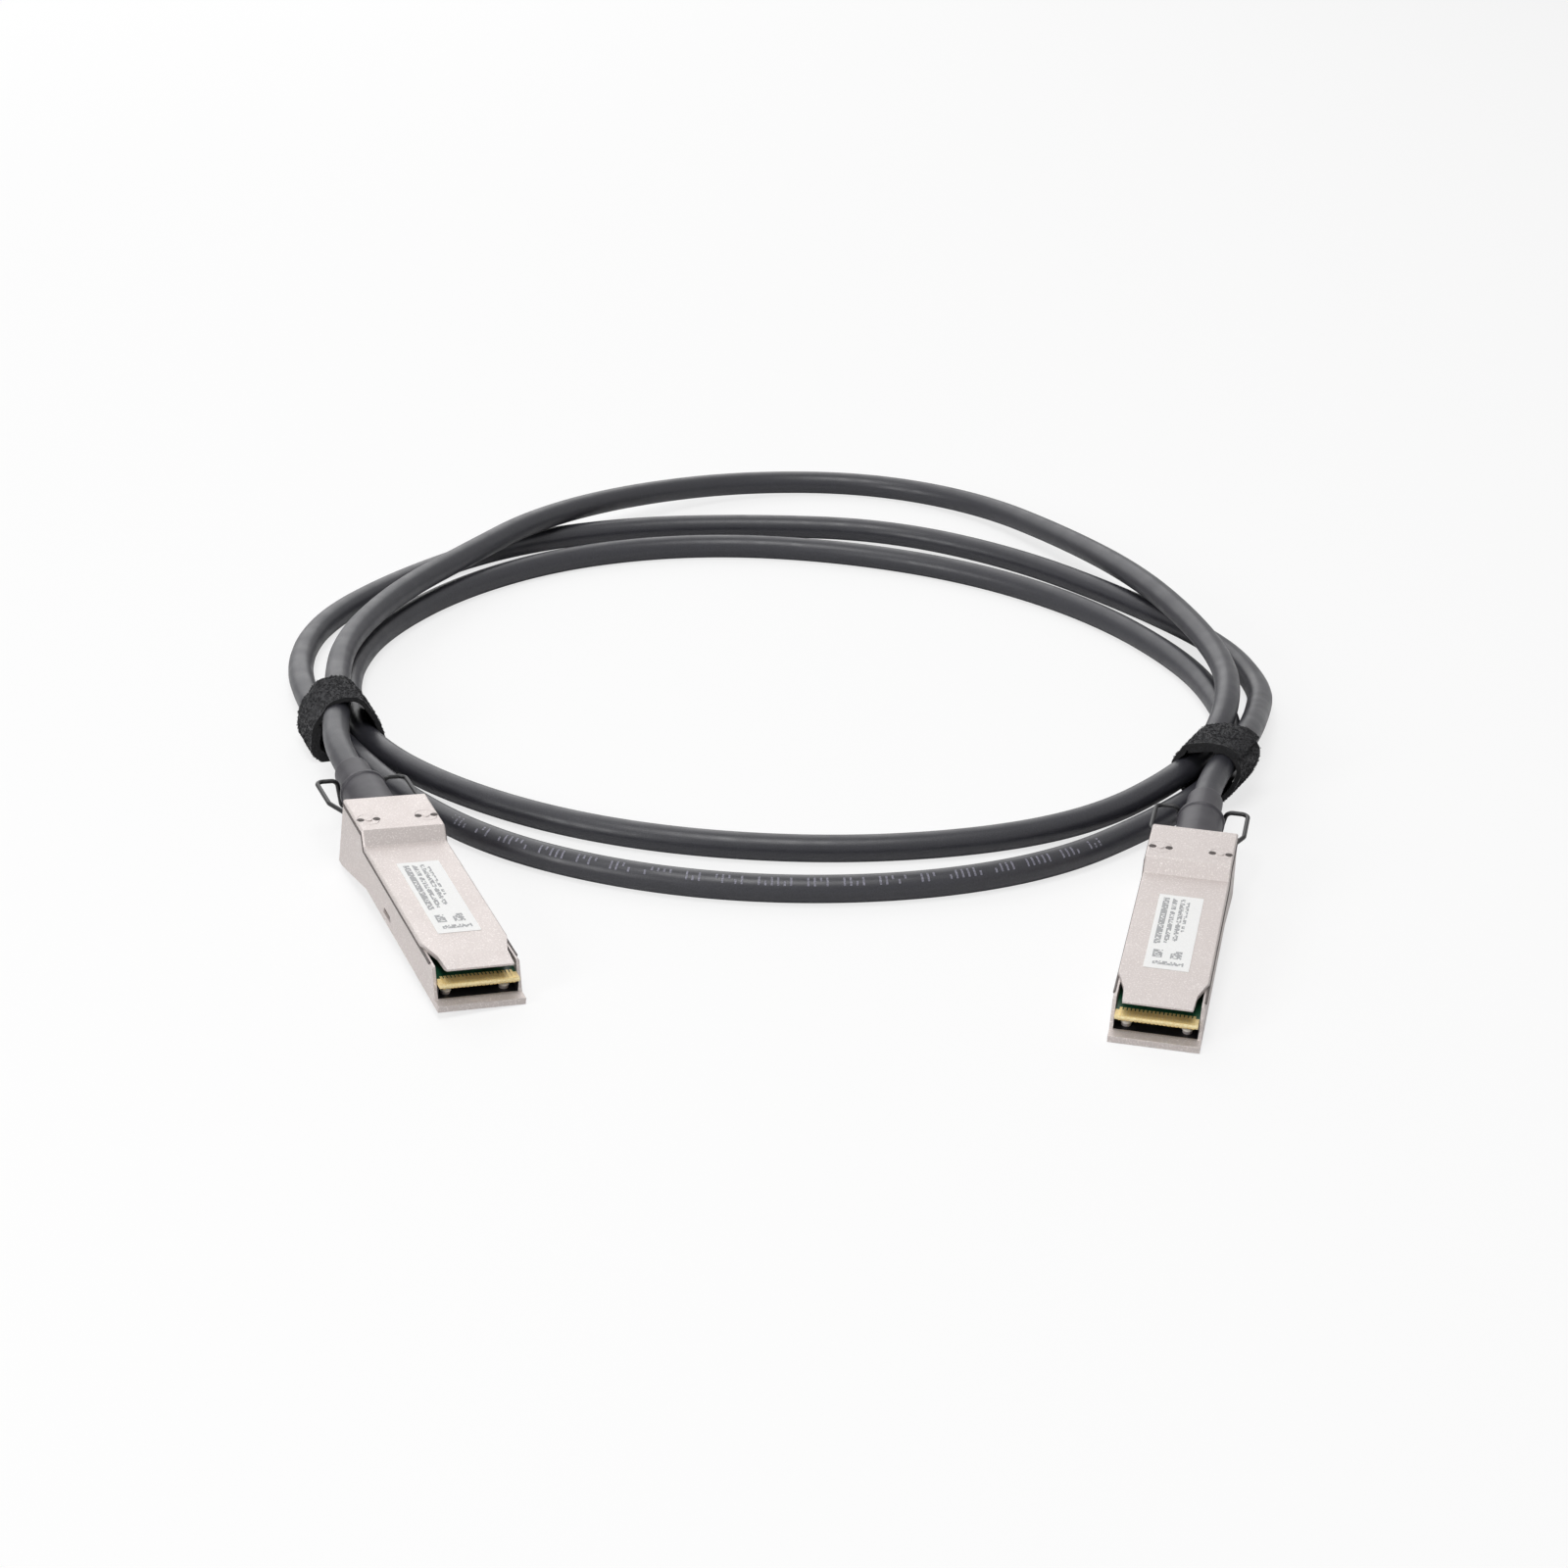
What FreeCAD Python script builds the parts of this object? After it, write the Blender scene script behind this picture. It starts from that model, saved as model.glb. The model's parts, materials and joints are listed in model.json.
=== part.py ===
"""Direct attach copper cable: two latched plugs joined by one coiled twinaxial cable.

Lengths are in millimetres. Each plug is drawn in a frame of its own: the rear face of its housing
lies on Y = 0, the mouth points to -Y, and Z is up. The plug frames are then set down on the floor,
which is the plane Z = 0 of the whole part.
"""

import FreeCAD, Part
import math
import os
import Sketcher

Vector = FreeCAD.Vector
NEAR = 0.001

SIZES = {
    # housing, side view: heights over the plug frame, depths behind the rear face
    "body_width": 18.35,
    "head_top": 12.8,
    "head_flat": 14.1,
    "ramp_end": 16.4,
    "lid_top": 10.1,
    "lid_wall": 1.0,
    "lid_edge": 0.3,
    "seam_edge": 0.3,
    "body_floor": 2.0,
    "head_bottom": -2.0,
    "underside_flat": 2.5,
    "underside_end": 20.3,
    "floor_wall": 1.2,
    "side_wall": 0.75,
    "rear_wall": 0.8,
    "head_block": 12.5,
    "running_gap": 0.1,
    # mouth
    "nose_front": 71.2,
    "lip_height": 1.4,
    "lip_depth": 3.0,
    "cheek_setback": 2.6,
    "cheek_length": 3.4,
    "tongue_setback": 2.7,
    "tongue_edge": 0.4,
    "tongue_lead": 1.5,
    "tongue_length": 5.5,
    "tongue_inset": 2.175,
    "shoulder_length": 6.0,
    "shoulder_inset": 1.825,
    "post_radius": 1.0,
    "post_inset": 2.325,
    "post_setback": 5.4,
    "post_height": 0.8,
    # ledges under the card and lid rails over it
    "ledge_rear": 28.0,
    "ledge_front": 58.0,
    "ledge_length": 4.0,
    "ledge_width": 1.3,
    "rail_start": 24.0,
    "rail_end": 50.0,
    "rail_width": 1.2,
    # printed circuit card
    "card_rear": 19.0,
    "card_setback": 2.2,
    "card_clearance": 0.125,
    "card_thick": 1.0,
    "card_bevel": 0.35,
    "pad_count": 19,
    "pad_margin": 1.0,
    "pad_width": 0.55,
    "pad_length": 3.2,
    "pad_thick": 0.06,
    "pad_setback": 0.25,
    "chip_depth": 36.0,
    "chip_across": 3.0,
    "chip_length": 4.9,
    "chip_width": 3.9,
    "chip_height": 1.2,
    # cable entry: all of it lies on one axis at this height
    "axis_height": 6.4,
    "cable_diameter": 6.1,
    "collar_rise": 0.8,
    "stem_front": 6.0,
    "collar_front": 4.6,
    "collar_rear": 2.6,
    "flange_radius": 5.0,
    "flange_end": 15.5,
    "rim_rise": 0.3,
    "rim_width": 1.4,
    "rim_round": 0.4,
    "neck_wall": 0.95,
    "neck_length": 9.0,
    "neck_round": 0.6,
    "ferrule_wall": 0.6,
    "ferrule_slack": 0.08,
    "ferrule_front": 12.3,
    # twinaxial pairs
    "pair_radius": 0.6,
    "pair_spacing": 0.15,
    "pair_gap": 0.03,
    "fan_pitch": 3.6,
    "fan_start": 16.0,
    "fan_end": 22.0,
    "pair_end": 26.0,
    # latch slider
    "slider_gauge": 0.4,
    "latch_travel": 2.0,
    "bridge_bottom": 0.55,
    "bridge_front": 9.4,
    "ear_length": 2.6,
    "ear_rim": 1.3,
    "ear_eye_inset": 1.0,
    "ear_eye_height": 8.3,
    "arm_gap": 0.15,
    "arm_height": 1.85,
    "arm_front": 38.0,
    "ramp_tip": 0.8,
    "ramp_length": 2.0,
    "ramp_rise": 0.5,
    "window_gap": 0.3,
    "window_slack": 0.6,
    "window_height": 1.35,
    "tab_inset": 1.875,
    "tab_half": 0.8,
    "tab_top": 3.1,
    # return springs
    "spring_radius": 0.8,
    "spring_wire": 0.3,
    "spring_turns": 5,
    "spring_corners": 6,
    "spring_seat": 2.6,
    "spring_height": 2.2,
    # pull wire
    "wire_radius": 0.5,
    "leg_inset": 0.675,
    "bow_start": 1.0,
    "bow_end": 7.0,
    "bow_overhang": 0.925,
    "grip_gap": 2.2,
    "grip_height": 8.0,
    "dip_gap": 0.9,
    "dip_tuck": 0.2,
    "dip_clearance": 0.7,
    "wire_bend": 1.6,
    # housing screws
    "screw_depth": 9.6,
    "screw_inset": 2.825,
    "screw_head_radius": 2.3,
    "screw_head_thick": 0.8,
    "screw_shank_radius": 0.85,
    "screw_end": 3.8,
    "slot_width": 0.7,
    "slot_length": 1.3,
    "slot_offset": 1.75,
    "slot_depth": 0.5,
    "screw_boss_radius": 0.75,
    "screw_boss_height": 0.15,
    # label
    "label_rear": 24.8,
    "label_length": 29.7,
    "label_width": 9.2,
    "label_thick": 0.08,
    # plug poses on the floor
    "left_x": -87.1,
    "left_y": 25.0,
    "left_yaw": 23.3,
    "left_roll": 4.6,
    "right_x": 88.8,
    "right_y": 23.1,
    "right_yaw": -11.6,
    "right_roll": 0.0,
    "nose_tilt": 3.2,
    # cable and straps
    "left_exit_run": 10.0,
    "right_exit_run": 12.0,
    "arc_share": 0.45,
    "strap_thick": 1.2,
    "strap_slack": 0.3,
    "left_strap_width": 15.0,
    "right_strap_width": 14.0,
}

# Chosen points of the cable between the two straight stretches that leave the plugs.
CABLE_ROUTE = [
    (-102.7, 68, 11.2), (-104, 84, 11.1), (-106.5, 99, 10.9), (-107.5, 118, 10.3), (-104.5, 137, 9.9),
    (-97, 158.5, 10), (-84, 182, 10), (-68.5, 209, 10.2), (-45, 237.5, 7.2), (-14, 260, 3.8),
    (21, 264, 3.05), (52, 248.5, 3.8), (74, 216.5, 6.4), (90, 182, 9.8), (101, 151, 10.2),
    (106.5, 123.5, 10.3), (105, 99, 11.2), (98, 79, 11.1), (87, 64.5, 7.2), (70, 50, 3.5),
    (46, 37.5, 3.05), (13, 30.5, 3.05), (-22, 32, 3.05), (-53, 41.5, 3.05), (-78, 59.5, 3.3),
    (-94.5, 79, 4.9), (-102.5, 100, 4.9), (-106.5, 124, 3.4), (-101, 150, 3.05), (-84, 178.5, 3.05),
    (-58, 201, 3.05), (-24, 212.5, 3.05), (13, 210.5, 3.05), (49, 197.5, 3.05), (79, 173, 3.05),
    (99, 141, 3.05), (105.5, 113, 3.6), (104.5, 91, 4.9), (98.5, 69, 4.9), (81, 48, 3.3),
    (60, 27, 3.05), (31, 14.5, 3.05), (-2, 10.5, 3.05), (-33, 15, 3.05), (-62, 28, 3.05),
    (-84, 48.5, 3.2), (-100, 71, 4.9), (-112, 94, 4.9), (-120, 123, 3.2), (-117.5, 151, 3.05),
    (-102, 179, 3.05), (-78, 206.5, 3.05), (-46, 222.5, 3.05), (-10, 228, 3.05), (26, 227, 3.05),
    (59, 210, 3.05), (87, 182.5, 3.05), (110, 153, 3.05), (117, 125, 3.4), (112.5, 102, 6.0),
    (105.5, 77, 10.6),
]

# Strap outlines round the cable centres: across the bundle, and height over the lowest strand.
LEFT_STRAP = [(-6.4, 0), (7.6, 0), (-0.4, 6.8), (-3.5, 6.8)]
RIGHT_STRAP = [(-2.6, 0), (3.4, 0), (3.4, 5.8), (1.5, 6.5), (-4.6, 6.9), (-8.8, 4.2)]
LEFT_STRAP_POSE = {"middle": (-102.5, 84.6), "heading": 16.0}
RIGHT_STRAP_POSE = {"middle": (101.0, 74.0), "heading": -18.0}

# Expressions that several pieces share.
LID_UNDER = "(sizes.lid_top - sizes.lid_wall)"
HEAD_UNDER = "(sizes.head_top - sizes.lid_wall)"
LIP_TOP = "(sizes.body_floor + sizes.lip_height)"
FLOOR_TOP = "(sizes.body_floor + sizes.floor_wall)"
INNER_HALF = "(sizes.body_width / 2 - sizes.side_wall)"
CARD_HALF = "(sizes.body_width / 2 - sizes.side_wall - sizes.card_clearance)"
CARD_TOP = "(sizes.axis_height + sizes.card_thick / 2)"
CARD_UNDER = "(sizes.axis_height - sizes.card_thick / 2)"
CARD_FRONT = "(sizes.nose_front - sizes.card_setback)"
TONGUE_FRONT = "(sizes.nose_front - sizes.tongue_setback)"
SHOULDER_END = "(sizes.nose_front - sizes.tongue_setback - sizes.tongue_length)"
CHEEK_LOW = "(sizes.nose_front - sizes.cheek_setback)"
SLIDER_HALF = "(sizes.body_width / 2 - sizes.side_wall - sizes.running_gap / 2)"
ARM_INNER = "(sizes.body_width / 2 - sizes.side_wall - sizes.running_gap / 2 - sizes.slider_gauge)"
CHANNEL_INNER = (
    "(sizes.body_width / 2 - sizes.side_wall - sizes.running_gap * 1.5 - sizes.slider_gauge)"
)
BRIDGE_REAR = "(sizes.rear_wall + sizes.latch_travel + 2 * sizes.running_gap)"
BRIDGE_TOP = "(sizes.bridge_bottom + sizes.slider_gauge)"
TAB_REAR = "(sizes.bridge_front - sizes.slider_gauge)"
TAB_ACROSS = f"({CHANNEL_INNER} - sizes.tab_inset)"
WELL_HALF = "(sizes.spring_radius + sizes.spring_wire / 2 + sizes.running_gap)"
EYE_DEPTH = f"({BRIDGE_REAR} + sizes.ear_eye_inset)"
ARM_BOTTOM = f"({FLOOR_TOP} + sizes.arm_gap)"
RAMP_FRONT = "(sizes.arm_front - sizes.ramp_tip)"
RAMP_REAR = "(sizes.arm_front - sizes.ramp_tip - sizes.ramp_length)"
SCREW_ACROSS = "(sizes.body_width / 2 - sizes.screw_inset)"
PAIR_PITCH = "(2 * sizes.pair_radius + sizes.pair_spacing)"
PAIR_OFFSET = "(sizes.card_thick / 2 + sizes.pair_gap + sizes.pair_radius)"
FERRULE_BORE = (
    f"(sqrt((1.5 * {PAIR_PITCH})^2 + {PAIR_OFFSET}^2) + sizes.pair_radius + sizes.ferrule_slack)"
)
FERRULE_RADIUS = f"({FERRULE_BORE} + sizes.ferrule_wall)"
STEM_RADIUS = f"({FERRULE_RADIUS} + sizes.running_gap)"
COLLAR_RADIUS = f"({STEM_RADIUS} + sizes.collar_rise)"
NECK_RADIUS = "(sizes.cable_diameter / 2 + sizes.neck_wall)"
NECK_END = "(sizes.flange_end + sizes.neck_length)"

doc = FreeCAD.newDocument("direct_attach_cable")
sheet = doc.addObject("Spreadsheet::Sheet", "sizes")
for row, (alias, number) in enumerate(SIZES.items(), 1):
    sheet.set(f"A{row}", alias)
    sheet.set(f"B{row}", str(number))
    sheet.setAlias(f"B{row}", alias)
doc.recompute()
probe = doc.addObject("App::FeaturePython", "probe")
nodes = []


def value(expression):
    """Number that a sheet expression stands for."""
    return float(probe.evalExpression(expression))


def size(alias):
    """Number in one cell of the sheet."""
    return float(sheet.get(alias))


def keep(feature, label):
    """List a finished sub-part under its node name."""
    feature.Label = label
    nodes.append(feature)
    return feature


def new_sketch(body, name, plane, height="0"):
    """Sketch on one of the body's own origin planes, lifted along the plane's normal."""
    sketch = body.newObject("Sketcher::SketchObject", name)
    support = [feature for feature in body.Origin.OriginFeatures if feature.Role == plane]
    sketch.AttachmentSupport = (support[0], [""])
    sketch.MapMode = "FlatFace"
    sketch.setExpression("AttachmentOffset.Base.z", height)
    return sketch


def tie(sketch, kind, geometry, point, expression):
    """Hold one coordinate of a sketch point at a sheet expression."""
    number = value(expression)
    constraint = sketch.addConstraint(Sketcher.Constraint(kind, -1, 1, geometry, point, number))
    sketch.setExpression(f"Constraints[{constraint}]", expression)


def draw_outline(sketch, corners):
    """Closed outline of straight lines through corners of (across, up) expressions."""
    places = [Vector(value(across), value(up), 0) for across, up in corners]
    first = sketch.GeometryCount
    count = len(places)
    for index in range(count):
        sketch.addGeometry(Part.LineSegment(places[index], places[(index + 1) % count]), False)
    for index in range(count):
        following = first + (index + 1) % count
        sketch.addConstraint(Sketcher.Constraint("Coincident", first + index, 2, following, 1))
    for index, (across, up) in enumerate(corners):
        tie(sketch, "DistanceX", first + index, 1, across)
        tie(sketch, "DistanceY", first + index, 1, up)


def draw_box(sketch, low_across, high_across, low_up, high_up):
    """Rectangle between two corners."""
    draw_outline(
        sketch,
        [
            (low_across, low_up),
            (high_across, low_up),
            (high_across, high_up),
            (low_across, high_up),
        ],
    )


def draw_box_pair(sketch, inner, outer, low_up, high_up):
    """The same rectangle on the left and on the right of the plug."""
    draw_box(sketch, inner, outer, low_up, high_up)
    draw_box(sketch, f"-{outer}", f"-{inner}", low_up, high_up)


def draw_circle(sketch, across, up, radius):
    """Circle about one centre."""
    place = Vector(value(across), value(up), 0)
    geometry = sketch.addGeometry(Part.Circle(place, Vector(0, 0, 1), value(radius)), False)
    tie(sketch, "DistanceX", geometry, 3, across)
    tie(sketch, "DistanceY", geometry, 3, up)
    constraint = sketch.addConstraint(Sketcher.Constraint("Radius", geometry, value(radius)))
    sketch.setExpression(f"Constraints[{constraint}]", radius)


def draw_circle_pair(sketch, across, up, radius):
    """The same circle on the left and on the right of the plug."""
    draw_circle(sketch, across, up, radius)
    draw_circle(sketch, f"-{across}", up, radius)


def add_pad(body, sketch, length, sides="One side", backward=False):
    """Material from a sketch."""
    pad = body.newObject("PartDesign::Pad", f"{sketch.Name}_pad")
    pad.Profile = sketch
    pad.SideType = sides
    pad.Reversed = backward
    pad.setExpression("Length", length)
    body.Tip = pad
    return pad


def add_pocket(body, sketch, length=None, sides="One side", backward=False):
    """Cut from a sketch, right through where no length is given."""
    pocket = body.newObject("PartDesign::Pocket", f"{sketch.Name}_pocket")
    pocket.Profile = sketch
    pocket.SideType = sides
    pocket.Reversed = backward
    if length is None:
        pocket.Type = "ThroughAll"
    else:
        pocket.setExpression("Length", length)
    body.Tip = pocket
    return pocket


def turn_about_cable(body, kind, name, corners):
    """Revolved material or groove about the cable's axis; corners are (depth, radius)."""
    sketch = new_sketch(body, f"{name}_profile", "YZ_Plane")
    sketch.setExpression("AttachmentOffset.Base.y", "sizes.axis_height")
    draw_outline(sketch, corners)
    turned = body.newObject(kind, name)
    turned.Profile = sketch
    turned.ReferenceAxis = (sketch, ["H_Axis"])
    turned.Angle = 360
    body.Tip = turned
    return turned


def cut_cable_entry(body):
    """Stepped bore that grips the boot's stem and the crimp ferrule."""
    bore = f"{STEM_RADIUS} + sizes.running_gap / 2"
    groove = f"{COLLAR_RADIUS} + sizes.running_gap / 2"
    groove_rear = "-sizes.collar_rear + sizes.running_gap / 2"
    groove_front = "-sizes.collar_front - sizes.running_gap / 2"
    corners = [
        ("sizes.running_gap", "0"),
        ("sizes.running_gap", bore),
        (groove_rear, bore),
        (groove_rear, groove),
        (groove_front, groove),
        (groove_front, bore),
        ("-sizes.head_block - sizes.running_gap", bore),
        ("-sizes.head_block - sizes.running_gap", "0"),
    ]
    turn_about_cable(body, "PartDesign::Groove", "cable_entry", corners)


def make_top_shell(label):
    """Die-cast lid: a plate that follows the side outline, with the upper cable clamp."""
    body = doc.addObject("PartDesign::Body", label)
    plate = new_sketch(body, "plate", "YZ_Plane")
    outline = [
        ("0", "sizes.head_top"),
        ("-sizes.head_flat", "sizes.head_top"),
        ("-sizes.ramp_end", "sizes.lid_top"),
        (f"-{TONGUE_FRONT}", "sizes.lid_top"),
        (f"-{TONGUE_FRONT}", "sizes.lid_top - sizes.tongue_edge"),
        (f"-{TONGUE_FRONT} + sizes.tongue_lead", LID_UNDER),
        ("-sizes.ramp_end", LID_UNDER),
        ("-sizes.head_flat", HEAD_UNDER),
        ("0", HEAD_UNDER),
    ]
    draw_outline(plate, outline)
    add_pad(body, plate, "sizes.body_width", "Symmetric")

    wall = new_sketch(body, "rear_wall", "XZ_Plane")
    wall_half = f"({INNER_HALF} - sizes.running_gap / 2)"
    draw_box(wall, f"-{wall_half}", wall_half, "sizes.axis_height", HEAD_UNDER)
    add_pad(body, wall, "sizes.rear_wall")

    clamp = new_sketch(body, "clamp", "XZ_Plane")
    draw_box(clamp, f"-{CHANNEL_INNER}", CHANNEL_INNER, "sizes.axis_height", HEAD_UNDER)
    add_pad(body, clamp, "sizes.head_block")

    rails = new_sketch(body, "rails", "XY_Plane", LID_UNDER)
    rail_inner = f"({CARD_HALF} - sizes.rail_width)"
    draw_box_pair(rails, rail_inner, CARD_HALF, "-sizes.rail_end", "-sizes.rail_start")
    add_pad(body, rails, f"{LID_UNDER} - {CARD_TOP}", backward=True)

    cut_cable_entry(body)

    legs = new_sketch(body, "leg_slots", "XZ_Plane", "-sizes.running_gap")
    leg_inner = f"({ARM_INNER} - sizes.leg_inset - sizes.wire_radius - sizes.running_gap)"
    leg_outer = f"({INNER_HALF} + sizes.running_gap)"
    leg_low = "sizes.ear_eye_height - sizes.wire_radius - sizes.running_gap"
    leg_high = "sizes.ear_eye_height + sizes.wire_radius + sizes.running_gap"
    draw_box_pair(legs, leg_inner, leg_outer, leg_low, leg_high)
    leg_depth = f"{EYE_DEPTH} + sizes.wire_radius + 2 * sizes.running_gap"
    add_pocket(body, legs, leg_depth, backward=True)

    seats = new_sketch(body, "screw_seats", "XY_Plane", "sizes.head_top")
    seat_radius = "sizes.screw_head_radius + sizes.running_gap / 2"
    draw_circle_pair(seats, SCREW_ACROSS, "-sizes.screw_depth", seat_radius)
    add_pocket(body, seats, "sizes.screw_head_thick")
    holes = new_sketch(body, "screw_holes", "XY_Plane", "sizes.head_top")
    hole_radius = "sizes.screw_shank_radius + sizes.running_gap"
    draw_circle_pair(holes, SCREW_ACROSS, "-sizes.screw_depth", hole_radius)
    add_pocket(body, holes)

    shoulders = new_sketch(body, "shoulders", "XY_Plane", "sizes.lid_top")
    outside = "(sizes.body_width / 2 + sizes.running_gap)"
    tongue = "(sizes.body_width / 2 - sizes.tongue_inset)"
    shoulder = "(sizes.body_width / 2 - sizes.shoulder_inset)"
    shoulder_start = f"-{SHOULDER_END} + sizes.shoulder_length"
    for side in ("", "-"):
        corners = [
            (f"{side}{outside}", shoulder_start),
            (f"{side}(sizes.body_width / 2)", shoulder_start),
            (f"{side}{shoulder}", f"-{SHOULDER_END}"),
            (f"{side}{tongue}", f"-{TONGUE_FRONT}"),
            (f"{side}{tongue}", f"-{TONGUE_FRONT} - sizes.running_gap"),
            (f"{side}{outside}", f"-{TONGUE_FRONT} - sizes.running_gap"),
        ]
        draw_outline(shoulders, corners)
    cut = add_pocket(body, shoulders, "2 * sizes.lid_wall")
    doc.recompute()

    bevel_sides(body, cut, "sizes.lid_top", "sizes.lid_edge")
    return keep(body, label)


def bevel_sides(body, base, lowest, depth):
    """Chamfer along the outer edges of both sides that lie at a height or over it."""
    side = size("body_width") / 2
    names = []
    for number, edge in enumerate(base.Shape.Edges, 1):
        ends = [vertex.Point for vertex in edge.Vertexes]
        on_side = all(abs(abs(end.x) - side) < NEAR for end in ends)
        on_top = all(end.z > value(lowest) - NEAR for end in ends)
        along = len(ends) == 2 and abs(ends[0].y - ends[1].y) > size("lid_wall")
        if on_side and on_top and along:
            names.append(f"Edge{number}")
    bevel = body.newObject("PartDesign::Chamfer", "side_bevel")
    bevel.Base = (base, names)
    bevel.setExpression("Size", depth)
    body.Tip = bevel


def make_bottom_shell(label):
    """Die-cast tray: floor, side walls, front lip and the deep head with the lower cable clamp."""
    body = doc.addObject("PartDesign::Body", label)
    block = new_sketch(body, "block", "YZ_Plane")
    outline = [
        ("0", "sizes.head_bottom"),
        ("-sizes.underside_flat", "sizes.head_bottom"),
        ("-sizes.underside_end", "sizes.body_floor"),
        ("-sizes.nose_front", "sizes.body_floor"),
        ("-sizes.nose_front", LIP_TOP),
        (f"-{CHEEK_LOW}", LIP_TOP),
        (f"-{CHEEK_LOW} + sizes.cheek_length", LID_UNDER),
        ("-sizes.ramp_end", LID_UNDER),
        ("-sizes.head_flat", HEAD_UNDER),
        ("0", HEAD_UNDER),
    ]
    draw_outline(block, outline)
    add_pad(body, block, "sizes.body_width", "Symmetric")

    lip_rear = "-(sizes.nose_front - sizes.lip_depth)"
    cavity = new_sketch(body, "cavity", "XY_Plane", FLOOR_TOP)
    draw_box(cavity, f"-{INNER_HALF}", INNER_HALF, lip_rear, "-sizes.head_block")
    add_pocket(body, cavity, backward=True)
    mouth = new_sketch(body, "mouth", "XY_Plane", LIP_TOP)
    mouth_front = "-sizes.nose_front - sizes.running_gap"
    mouth_rear = f"{lip_rear} + sizes.running_gap"
    draw_box(mouth, f"-{INNER_HALF}", INNER_HALF, mouth_front, mouth_rear)
    add_pocket(body, mouth, backward=True)

    head = new_sketch(body, "head_opening", "XY_Plane", "sizes.axis_height")
    head_front = "-sizes.head_block - sizes.running_gap"
    draw_box(head, f"-{INNER_HALF}", INNER_HALF, head_front, "sizes.running_gap")
    add_pocket(body, head, backward=True)
    channels = new_sketch(body, "arm_channels", "XY_Plane", FLOOR_TOP)
    draw_box_pair(channels, CHANNEL_INNER, INNER_HALF, head_front, "-sizes.rear_wall")
    add_pocket(body, channels, backward=True)
    wells = new_sketch(body, "ear_wells", "XY_Plane", "sizes.bridge_bottom - sizes.running_gap")
    well_front = "-sizes.bridge_front - sizes.running_gap"
    draw_box_pair(wells, CHANNEL_INNER, INNER_HALF, well_front, "-sizes.rear_wall")
    add_pocket(body, wells, backward=True)
    slot = new_sketch(body, "bridge_slot", "YZ_Plane")
    slot_bottom = "sizes.bridge_bottom - sizes.running_gap"
    slot_top = f"{BRIDGE_TOP} + sizes.running_gap"
    draw_box(slot, well_front, "-sizes.rear_wall", slot_bottom, slot_top)
    add_pocket(body, slot, f"2 * {INNER_HALF}", "Symmetric")
    springs = new_sketch(body, "spring_wells", "XY_Plane", BRIDGE_TOP)
    inner = f"({TAB_ACROSS} - {WELL_HALF})"
    outer = f"({TAB_ACROSS} + {WELL_HALF})"
    draw_box_pair(springs, inner, outer, well_front, "-sizes.spring_seat")
    add_pocket(body, springs, f"sizes.spring_height + {WELL_HALF} - {BRIDGE_TOP}", backward=True)

    cut_cable_entry(body)

    holes = new_sketch(body, "screw_holes", "XY_Plane", "sizes.axis_height")
    draw_circle_pair(holes, SCREW_ACROSS, "-sizes.screw_depth", "sizes.screw_shank_radius")
    add_pocket(body, holes, "sizes.axis_height - sizes.screw_end")
    windows = new_sketch(body, "latch_windows", "YZ_Plane")
    window_front = f"-{RAMP_FRONT} - sizes.window_gap"
    window_rear = f"-{RAMP_REAR} + sizes.latch_travel + sizes.window_slack"
    window_top = f"{ARM_BOTTOM} + sizes.window_height"
    draw_box(windows, window_front, window_rear, ARM_BOTTOM, window_top)
    add_pocket(body, windows, "sizes.body_width + sizes.running_gap", "Symmetric")

    posts = new_sketch(body, "posts", "XY_Plane", FLOOR_TOP)
    post_across = f"({INNER_HALF} - sizes.post_inset)"
    post_depth = "sizes.post_setback - sizes.nose_front"
    draw_circle_pair(posts, post_across, post_depth, "sizes.post_radius")
    add_pad(body, posts, "sizes.post_height")
    ledges = new_sketch(body, "ledges", "XY_Plane", FLOOR_TOP)
    ledge_outer = f"({CHANNEL_INNER} - sizes.running_gap)"
    ledge_inner = f"({CHANNEL_INNER} - sizes.running_gap - sizes.ledge_width)"
    for start in ("sizes.ledge_rear", "sizes.ledge_front"):
        ledge_end = f"-{start} - sizes.ledge_length"
        draw_box_pair(ledges, ledge_inner, ledge_outer, ledge_end, f"-{start}")
    tray = add_pad(body, ledges, f"{CARD_UNDER} - {FLOOR_TOP}")
    doc.recompute()

    bevel_sides(body, tray, LID_UNDER, "sizes.seam_edge")
    return keep(body, label)


def make_paddle_card(label):
    """Printed circuit card with bevelled front edges."""
    body = doc.addObject("PartDesign::Body", label)
    side = new_sketch(body, "side", "YZ_Plane")
    outline = [
        ("-sizes.card_rear", CARD_UNDER),
        ("-sizes.card_rear", CARD_TOP),
        (f"-{CARD_FRONT} + sizes.card_bevel", CARD_TOP),
        (f"-{CARD_FRONT}", f"{CARD_TOP} - sizes.card_bevel"),
        (f"-{CARD_FRONT}", f"{CARD_UNDER} + sizes.card_bevel"),
        (f"-{CARD_FRONT} + sizes.card_bevel", CARD_UNDER),
    ]
    draw_outline(side, outline)
    add_pad(body, side, f"2 * {CARD_HALF}", "Symmetric")
    return keep(body, label)


def make_contact_pads(label):
    """Gold contact pads on both faces of the card's front edge."""
    width = size("pad_width")
    thick = size("pad_thick")
    length = size("pad_length")
    front = -value(CARD_FRONT) + size("pad_setback")
    faces = (value(CARD_TOP), value(CARD_UNDER) - thick)
    count = round(size("pad_count"))
    pitch = 2 * (value(CARD_HALF) - size("pad_margin")) / (count - 1)
    pads = []
    for index in range(count):
        across = (index - (count - 1) / 2) * pitch - width / 2
        for height in faces:
            pads.append(Part.makeBox(width, length, thick, Vector(across, front, height)))
    feature = doc.addObject("Part::Feature", label)
    feature.Shape = Part.makeCompound(pads)
    return keep(feature, label)


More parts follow.
